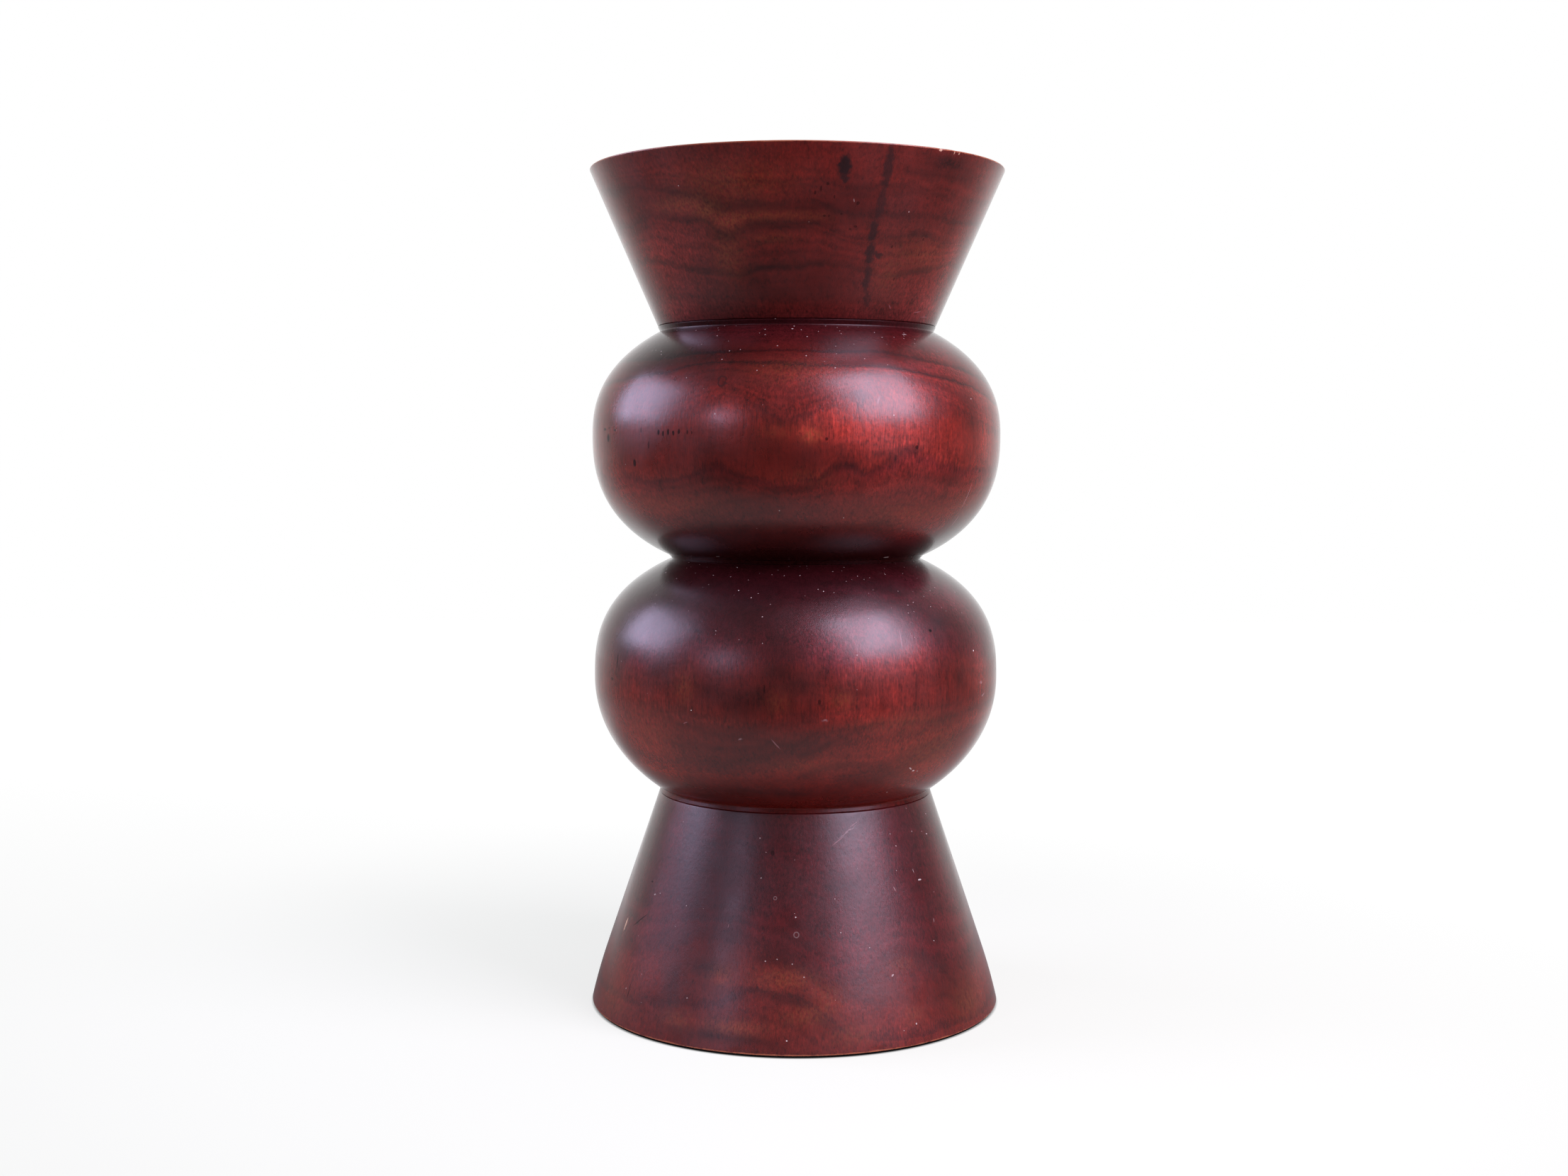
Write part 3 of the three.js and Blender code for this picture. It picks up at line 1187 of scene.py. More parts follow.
@dataclass
class UpperBelly(Belly):
    """The upper belly, bored through for the liner, with a ring tenon's socket at each end."""

    def inside(self) -> np.ndarray:
        """Gives the two ring sockets and the bore between them.

        Returns:
            The radii and heights.
        """
        span, socket, bore = self.span, JOINTS.ring_socket_radius, JOINTS.bore_radius
        high, low = span.top - JOINTS.ring_socket_depth, span.bottom + JOINTS.ring_socket_depth
        upper = [[socket, span.top], [socket, high], [bore, high]]
        lower = [[bore, low], [socket, low], [socket, span.bottom]]
        return spaced(np.array(upper + lower), COARSE)


@dataclass
class Mouth(TurnedPiece):
    """The flared mouth, hollowed as a funnel down to the recess that the liner's lip lies in."""

    neck_radius: float = 66.5
    rim_radius: float = 98.8
    land_inner_radius: float = 89.05
    funnel_foot_radius: float = 36.0
    lip_recess_radius: float = 34.0
    lip_recess_depth: float = 2.6

    def side(self) -> np.ndarray:
        """Gives the outside of the cone, the rim, and the funnel with its recess.

        Returns:
            The radii and heights.
        """
        span, groove = self.span, JOINTS.groove
        slope = (self.rim_radius - self.neck_radius) / (span.top - span.bottom)
        seat = span.bottom + JOINTS.liner_seat
        recess_top = seat + self.lip_recess_depth
        corners = [
            [self.neck_radius - groove, span.bottom, 0],
            [self.neck_radius + slope * groove, span.bottom + groove, 0.12],
            [self.rim_radius, span.top, 0.9],
            [self.land_inner_radius, span.top, 1.9],
            [self.funnel_foot_radius, recess_top, 0.5],
            [self.lip_recess_radius, recess_top, 0.35],
            [self.lip_recess_radius, seat, 0.15],
            [JOINTS.bore_radius, seat, 0],
        ]
        return spaced(softened(np.array(corners)), FINE)

    def inside(self) -> np.ndarray:
        """Gives the bore and the neck tenon's socket.

        Returns:
            The radii and heights.
        """
        span, socket = self.span, JOINTS.ring_socket_radius
        shoulder = span.bottom + JOINTS.ring_socket_depth
        corners = [[JOINTS.bore_radius, shoulder], [socket, shoulder], [socket, span.bottom]]
        return spaced(np.array(corners), COARSE)


@dataclass
class Tenon(TurnedPiece):
    """A round tenon with softened ends and glue grooves, either solid or bored for the liner."""

    bore_radius: float = 0.0
    chamfer: float = 1.2
    groove_depth: float = 0.5
    groove_pitch: float = 3.5
    points_per_groove: int = 10

    def side(self) -> np.ndarray:
        """Gives the outside.

        Between the chamfers, at the share s of the way up, it waves in by
        groove_depth (1 - cos(2 pi n s)) / 2 with n grooves, a whole number that suits groove_pitch.

        Returns:
            The radii and heights.
        """
        span = self.span
        low, high = span.bottom + self.chamfer, span.top - self.chamfer
        grooves = round((high - low) / self.groove_pitch)
        share = np.linspace(0, 1, grooves * self.points_per_groove + 1)
        wave = span.radius - self.groove_depth * (1 - np.cos(2 * math.pi * grooves * share)) / 2
        end = span.radius - self.chamfer
        grooved = np.column_stack([wave, low + (high - low) * share])
        return np.vstack([[end, span.bottom], grooved, [end, span.top]])

    def inside(self) -> np.ndarray:
        """Gives the ends and the bore."""
        return np.array([[self.bore_radius, self.span.top], [self.bore_radius, self.span.bottom]])


@dataclass
class Liner(TurnedPiece):
    """The spun beaker that holds the water, with a rounded bottom and a lip that hangs in the mouth."""

    wall: float = 1.2
    outer_radius: float = 27.0
    lip_thickness: float = 2.0
    corner_radius: float = 4.0

    def side(self) -> np.ndarray:
        """Gives the whole skin, from the middle of the bottom round the lip to the middle of the floor.

        Returns:
            The radii and heights.
        """
        span, inner = self.span, self.outer_radius - self.wall
        lip = span.top - self.lip_thickness
        corners = [
            [0, span.bottom, 0],
            [self.outer_radius, span.bottom, self.corner_radius],
            [self.outer_radius, lip, 0.2],
            [span.radius, lip, 0.9],
            [span.radius, span.top, 0.95],
            [inner, span.top, 1.0],
            [inner, span.bottom + self.wall, self.corner_radius - self.wall],
            [0, span.bottom + self.wall, 0],
        ]
        return spaced(softened(np.array(corners), steps=7), longest=2.0)


@dataclass
class Pad(TurnedPiece):
    """The round felt pad under the foot."""

    def side(self) -> np.ndarray:
        """Gives the underside, the soft edge and the upper side.

        Returns:
            The radii and heights.
        """
        span = self.span
        corners = [
            [0, span.bottom, 0],
            [span.radius, span.bottom, 0.3],
            [span.radius, span.top, 0.3],
            [0, span.top, 0],
        ]
        return spaced(softened(np.array(corners)), longest=4.0)


MOUTH_WOOD = StainedWood(
    name="stained_wood_mouth",
    blank=Blank(
        lot=(310, 95, 140),
        lines=(
            RingLine(0, ((0, 326.6),)),
            RingLine(8, ((-40, 333), (10, 331.5), (30, 332.5), (90, 334), (180, 331))),
            RingLine(20, (
                (-75, 356), (-62, 354), (-50, 352), (-38, 348.5), (-28, 346.5), (-20, 344.5), (-16, 346.5),
                (-10, 348.2), (0, 348), (5, 349.5), (16, 350), (28, 346), (38, 347.5), (50, 350.5),
                (62, 353), (90, 356), (140, 350), (200, 346), (250, 352),
            )),
            RingLine(34, (
                (-75, 372), (-50, 370.5), (-38, 368.5), (-28, 368.3), (-26, 364.5), (-23, 361.5),
                (-19, 362), (-16, 365), (-12, 366.2), (-2, 365.6), (5, 365), (12, 363), (20, 361),
                (32, 364.5), (44, 365), (55, 362), (75, 366), (120, 360), (170, 368), (230, 364),
            )),
            RingLine(42, (
                (-75, 389), (-60, 387), (-50, 385), (-44, 382), (-37, 378.5), (-29, 376.5), (-25, 372.5),
                (-22, 371), (-16, 372.6), (-8, 373.6), (2, 373), (12, 371), (22, 370.5), (34, 371.5),
                (46, 372), (60, 371), (75, 374), (120, 368), (170, 377), (230, 372),
            )),
            RingLine(60, ((0, 396), (90, 398), (180, 395))),
        ),
        zones=(
            (0, "#400f0e"), (4, "#46110f"), (10, "#50120e"), (18.6, "#5a140e"), (19.7, "#4c110c"),
            (20.4, "#4d110a"), (21.8, "#5a140e"), (32.6, "#58140e"), (33.7, "#4d110c"), (34.5, "#50110d"),
            (36, "#5b150e"), (40.8, "#5a140e"), (42.1, "#50110c"), (44, "#59130e"), (52, "#61150e"),
            (60, "#5d140e"),
        ),
        fibre=3.5,
        comb=3,
    ),
    roughness=0.36,
    corners=(326.6,),
    veins=(
        Vein(1.1, 0.18, (
            (-53, 387.8), (-47, 386.6), (-42, 383.6), (-36, 379.6), (-30, 378.2), (-27, 376.4),
        )),
        Vein(1.1, 0.24, (
            (-27, 376.4), (-25, 372.8), (-22.5, 371.3), (-19, 372.5), (-12, 373.1), (0, 372.7), (9, 373.4),
        )),
        Vein(1.2, 0.15, ((9, 371.2), (15, 371.6), (22, 372), (30, 371), (38, 369.6), (50, 371.2))),
        Vein(1.2, 0.3, (
            (-40, 369.8), (-30, 369.2), (-27, 366.6), (-25, 363.2), (-22, 361), (-19, 362.4), (-15, 365.4),
            (-10, 366.2), (-4, 365), (0, 365.2), (6, 366.8),
        )),
        Vein(1.1, 0.27, (
            (-62, 354.4), (-55, 353.2), (-47, 352.2), (-40, 349), (-33, 348.4), (-28, 347.6), (-25, 345.2),
            (-20, 344.4), (-16, 346.2), (-12, 348.2), (-7, 348.6), (-2, 347.4), (2, 348.8), (7, 350),
        )),
        Vein(1, 0.18, ((-20, 383.4), (-14, 384.2), (-8, 383.2), (0, 381.9), (5, 381.6))),
        Vein(1.2, -0.18, ((22, 385.4), (31, 384.8), (40, 384))),
        Vein(1.1, 0.15, ((22, 382.8), (32, 382.6), (42, 381.4), (60, 379.6))),
        Vein(1.3, 0.21, ((33, 346), (38, 346.8), (43, 348.4), (51, 350.8))),
        Vein(1.2, 0.21, ((18, 360.6), (26, 361.2), (34, 361))),
        Vein(1.2, 0.18, ((30, 389.4), (40, 389.6), (50, 389), (60, 390.6))),
    ),
    dye_and_painted_light=patches(
        (44, 394.5, 6.5, 3, 0.6), (38, 364.2, 1.6, 1, 0.45), (43.5, 364, 1.6, 1, 0.4),
        # Painted light: the last two patches on the next line lift the bottom of the mouth's sides, where
        # they lie in shade.
        (-45, 358, 14, 14, -0.2), (18, 379, 10, 9, 0.35), (-56, 331, 12, 6, -0.6), (58, 331, 12, 6, -0.5),
        (8, 347, 14, 12, 0.35), (38, 356, 8, 7, 0.25), (-34, 366, 9, 6, -0.2), (62, 358, 5, 14, -0.35),
        (53, 391, 5, 6, 0.3), (-33, 380.5, 6, 2.6, 0.3), (-25, 375.6, 3.4, 3.4, 0.4),
        (-15, 374, 8, 1.6, 0.25), (0, 373.4, 9, 1.5, 0.2), (-24, 362.4, 3.6, 2.2, 0.4),
        (-8, 366.2, 8, 1.3, 0.28), (-10, 348, 8, 1.4, 0.35), (-33, 348.5, 12, 1.5, 0.15),
        (-14, 342, 5, 4.5, 0.3), (0, 338, 16, 5, 0.22), (14, 380, 7, 8, 0.2), (42, 364.5, 5, 2, 0.3),
        (46, 348.5, 8, 1.8, 0.25), (40, 388, 12, 12, 0.45), (6, 369, 14, 5, 0.3), (36, 370, 12, 5, 0.2),
        (0, 329, 180, 5, -0.15), (-62, 386, 12, 14, 0.35), (60, 376, 9, 12, 0.25), (-50, 348, 14, 18, -0.3),
        (58, 338, 12, 10, -0.4), (-26, 388, 18, 8, -0.1), (-34, 375, 7, 3.2, -0.25),
        (-22, 368, 4, 3.4, -0.3),
    ),
    gold=patches(
        (-20, 384, 16, 8, 0.35), (-37, 376, 8, 3, 0.5), (-28, 372.5, 4, 3.2, 0.55),
        (-21, 367.5, 4, 3, 0.55), (-13, 369.5, 9, 2, 0.4), (2, 369.5, 8, 1.8, 0.22), (-23, 354, 5, 9, 0.4),
        (-8, 360.5, 7, 2, 0.26), (46, 356, 12, 6, 0.25), (32, 346, 5, 8, 0.2),
    ),
    marks=(
        *marks(
            Blemish.RESIN,
            (24.2, 390, 6, 26, 0.7, -1), (24.2, 376, 5.6, 22, 0.62), (23.5, 363.5, 5.8, 14, 0.76),
            (23.8, 354.5, 5.8, 12, 0.8, -2), (24.4, 344.5, 5, 17, 0.66, -3), (26, 335.5, 4.8, 10, 0.5, -10),
            (26.6, 354.2, 6.4, 3.2, 0.66, 20), (12.1, 390.2, 8, 12.4, 0.95), (12.4, 385.2, 5.2, 6, 0.8),
        ),
        *marks(
            Blemish.PIT,
            (4.6, 379, 1.2, 2.2, 0.61), (6.2, 380.6, 1.4, 3.1, 0.65), (8, 382.6, 1.9, 1.9, 0.53),
            (10.1, 377.4, 0.9, 2, 0.53), (17.2, 375.2, 2, 2, 0.57), (7.6, 369.6, 1.6, 1.4, 0.57),
            (9, 369.6, 0.9, 1.4, 0.57), (12.6, 370.6, 1.2, 1.2, 0.53), (17.4, 365.6, 2, 1.2, 0.57),
            (15.8, 364.4, 1.6, 1, 0.49), (31.2, 358, 1.2, 1.9, 0.57), (43.2, 362.2, 1.2, 1.6, 0.57),
            (43.2, 355.6, 0.9, 1.4, 0.53), (35.4, 344.4, 0.9, 2, 0.57, 8), (43, 380.2, 0.9, 1.2, 0.49),
            (51.4, 354.4, 0.9, 1, 0.49),
        ),
        *marks(
            Blemish.SCRATCH,
            (53.5, 331.2, 0.5, 7, 0.45, 80), (60, 329.4, 0.5, 9, 0.35, 86),
            (37, 332.6, 0.5, 3.6, 0.35, -40),
        ),
        *marks(
            Blemish.BARE,
            (39.4, 399.2, 1.7, 1.1, 0.9), (44.6, 399, 0.9, 1.6, 0.85, 25), (46.4, 399.1, 0.8, 1.5, 0.7, 20),
        ),
        *marks(Blemish.LINT, (15.9, 376.2, 0.4, 2, 0.3, -16)),
    ),
    edges=(WornEdge(98.4, 399.7, 0.9, 0.5), WornEdge(88.8, 399.6, 1.6, 0.4)),
)

UPPER_BELLY_WOOD = StainedWood(
    name="stained_wood_upper_belly",
    blank=Blank(
        lot=(-120, 410, -260),
        lines=(
            RingLine(0, ((0, 216.1),)),
            RingLine(10, ((-60, 227), (0, 226), (60, 228), (180, 226))),
            RingLine(20, ((-60, 242), (-15, 246), (0, 243), (30, 240), (70, 244), (180, 238))),
            RingLine(32, (
                (-75, 258), (-60, 256), (-45, 255), (-30, 257), (-22, 261), (-12, 257), (-5, 252), (0, 253),
                (7, 257), (11, 262), (14, 263.5), (18, 259), (21, 261), (25, 265), (30, 270), (36, 271),
                (45, 265), (52, 261), (65, 261), (90, 258), (135, 250), (180, 262), (225, 256),
            )),
            RingLine(44, (
                (-75, 280), (-60, 284), (-45, 282), (-30, 285), (-20, 291), (-14, 290), (-10, 286),
                (-6, 281), (-2, 279), (2, 281), (6, 284), (10, 290), (18, 295), (26, 295), (40, 292),
                (50, 286), (58, 281), (75, 276), (120, 284), (180, 278), (240, 286),
            )),
            RingLine(70, (
                (-75, 298), (-50, 302), (-25, 306), (-7, 306.8), (10, 306), (20, 305), (30, 303.5),
                (40, 302), (50, 299.5), (60, 296), (75, 290), (130, 297), (180, 304), (240, 300),
            )),
            RingLine(84, (
                (-75, 309), (-20, 311), (0, 312.5), (20, 311.5), (42, 309), (60, 304), (75, 300),
                (130, 306), (200, 311),
            )),
            RingLine(110, ((0, 326.5),)),
        ),
        zones=(
            (0, "#2a0b0a"), (8, "#340c0b"), (14, "#480e0a"), (20, "#5e140d"), (28, "#5a130e"),
            (30.8, "#4e0f0e"), (32.2, "#60160f"), (37, "#65160e"), (42, "#65160e"), (44.6, "#55110d"),
            (48, "#60140e"), (58, "#5a1512"), (67.6, "#651712"), (69.6, "#360b0c"), (71.4, "#5a1411"),
            (76, "#591412"), (82, "#511210"), (83.6, "#330a0b"), (85.6, "#4b110f"), (95, "#3d0d0f"),
            (110, "#2e0b0e"),
        ),
        fibre=8,
        comb=5,
    ),
    roughness=0.31,
    corners=(216.1, 326.5),
    veins=(
        Vein(1.1, 0.15, ((-35, 311), (0, 311), (10, 311.4))),
        Vein(1.1, 0.27, ((10, 311.4), (20, 311.2), (30, 309.6), (38, 308))),
        Vein(1.1, 0.15, ((-20, 306.5), (0, 306.6), (12, 306.2))),
        Vein(1.2, 0.33, ((12, 306.2), (20, 305.8), (28, 304.6), (34, 303.2), (42, 301.6), (50, 300.2))),
        Vein(1.3, 0.21, ((50, 300.2), (60, 298), (72, 293))),
        Vein(1.2, -0.23, ((17, 303.8), (26, 302.8), (36, 300.8))),
        Vein(1.4, 0.18, ((28, 300.4), (34, 299.2), (40, 297.4), (46, 295), (50, 291.6))),
        Vein(1.2, 0.15, ((38, 310), (46, 308.6), (54, 306.2), (62, 303.2))),
        Vein(1.1, 0.18, ((9, 313.6), (16, 314), (24, 313))),
        Vein(1.2, 0.12, ((-30, 303.4), (-15, 303), (0, 303.4))),
        Vein(1.6, 0.18, ((-25, 299.6), (-18, 295), (-13, 291.6), (-9, 288), (-6, 283.4), (-4, 280.2))),
        Vein(1.3, -0.27, ((0.5, 275.6), (3, 280.6), (5, 284), (6.8, 287.6), (10, 289.8), (15, 288.8))),
        Vein(1.3, -0.23, ((19, 269.2), (24, 269.4), (29, 271.4), (36, 271))),
        Vein(1.6, 0.1, ((21, 266.4), (26, 267.4), (31, 269), (40, 267.6), (50, 264))),
        Vein(1.3, -0.27, ((-6, 253.4), (0, 253.8), (4, 256.4), (7.5, 260.6), (9.5, 264.4))),
        Vein(1.5, 0.3, (
            (-8, 251.2), (0, 251), (4, 252.2), (6.5, 256.4), (9, 260.8), (12, 262.6), (14.5, 261.4),
        )),
        Vein(1.4, 0.24, ((14.5, 261.4), (16.5, 258.2), (19.5, 259.2), (22.5, 262.4), (26, 265.4))),
        Vein(1.2, 0.21, ((-32, 240.4), (-26, 241.4), (-20, 245), (-15, 246.4), (-10, 247), (-5, 248.6))),
        Vein(1.2, 0.12, ((-60, 256.4), (-45, 253), (-34, 251), (-20, 250.6))),
        Vein(1.6, 0.21, ((4, 229.6), (12, 227.4), (20, 225.8), (30, 226.6))),
        Vein(1.4, 0.12, ((-30, 234), (-10, 235.2), (10, 233.4), (30, 236.4))),
        Vein(1.3, -0.14, ((-20, 238.2), (0, 238.8), (20, 236.8))),
    ),
    dye_and_painted_light=patches(
        (16.6, 250.6, 1.3, 5, 0.3), (46, 255.5, 4, 2, 0.25), (17, 291.6, 3, 2.2, 0.3),
        (-22, 270, 2.4, 3, 0.15), (-32, 311, 30, 7, 0.35), (-52, 314, 16, 5, 0.45), (-52, 303, 12, 5, 0.35),
        (-38, 290, 6, 5, 0.35), (36, 254, 5, 4, 0.2), (0, 217, 180, 3, -0.4), (56, 316, 13, 7, -0.5),
        (-20, 302, 10, 6, 0.3), (-41, 279, 13, 6, -0.15), (3.4, 274.6, 2.4, 3.2, -0.8),
        (36, 265, 9, 5, -0.35), (58, 256, 8, 6, -0.25), (30, 243, 12, 5, 0.15), (-4, 230, 18, 4, 0.25),
        (48, 231, 8, 5, -0.3), (26, 262, 22, 26, -0.12), (-54, 254, 12, 8, -0.3), (-34, 309, 24, 8, 0.4),
        (-12, 268, 16, 9, 0.42), (2, 264, 8, 10, 0.35), (-52, 270, 20, 9, 0.3), (12, 261.5, 3, 2.6, 0.3),
        (-18, 255, 10, 6, 0.22), (-10, 244, 14, 6, 0.25), (54, 284, 4, 16, 0.3), (16, 313, 9, 6, 0.25),
        # Painted highlight: on the next line the patch at turn 20 and height 277 brightens the wood under the
        # key softbox's reflection, and those at heights 285 and 293 brighten round it, in part over real
        # lighter wood.
        (0, 220, 180, 5, 0.2), (20, 277, 14, 6.5, -0.85), (9, 285, 6, 5, -0.5), (30, 293, 14, 7, -0.35),
        (6, 298, 9, 7, -0.25), (-24, 288, 18, 7, -0.2), (48, 305, 14, 7, -0.3), (42, 233, 14, 7, -0.55),
        (-40, 240, 20, 7, -0.25), (62, 276, 5, 14, -0.3),
    ),
    gold=patches(
        (3.4, 274.6, 2.2, 3, 0.7), (-5, 276, 5, 3, 0.15), (-1, 302, 12, 6, 0.2), (-40, 243, 18, 5, 0.22),
        (36, 240, 18, 5, 0.22), (3, 256, 8, 4, 0.14), (58, 244, 10, 8, 0.2),
    ),
    marks=(
        *marks(Blemish.RESIN, (-20.9, 298, 5.2, 6.4, 0.55), hollow=True),
        *marks(
            Blemish.PIT,
            (-39, 275.7, 1.6, 3.1, 0.94), (-37.4, 275.2, 1.4, 2.9, 0.94), (-35.7, 275.8, 1.4, 3.4, 0.94),
            (-34, 275.4, 1.6, 2.6, 0.88), (-32.2, 276, 1.4, 2.9, 0.88), (-29.6, 275.7, 1.1, 2.2, 0.75),
            (-28.3, 275.5, 0.9, 1.8, 0.69), (-45.6, 276.8, 1.1, 3.1, 0.69), (-42.6, 270, 1.4, 4.1, 0.62),
            (-64.6, 277.2, 3.5, 1.6, 1), (-61.6, 277.8, 2.4, 1, 0.75), (-58, 276.8, 2.7, 1.1, 0.75),
            (-62.2, 273.2, 3.2, 4.8, 0.94), (-48.8, 262, 2.4, 4.3, 0.88), (7.4, 273, 1.6, 1.9, 0.69),
            (32.5, 269.4, 2.2, 2.2, 0.75),
        ),
        *marks(Blemish.RUB, (21.5, 290, 1.6, 6, 0.3, 20)),
        *marks(Blemish.SCRATCH, (57, 247, 0.8, 16, 0.45, 2), (58.4, 235.5, 0.8, 9, 0.5, -3)),
        *marks(
            Blemish.LINT,
            (39.9, 219, 1.2, 3.8, 0.85, 84), (-33.6, 219.4, 0.6, 2.8, 0.6, 78), (-1.9, 321.8, 1, 0.6, 0.88),
            (42.6, 320.4, 3.2, 0.7, 0.55), (-12, 321.6, 0.7, 0.6, 0.77), (55.6, 291.4, 0.6, 0.6, 0.83),
            (-5, 241.6, 0.6, 0.6, 0.55), (13.4, 238.4, 0.5, 0.6, 0.55),
        ),
    ),
)

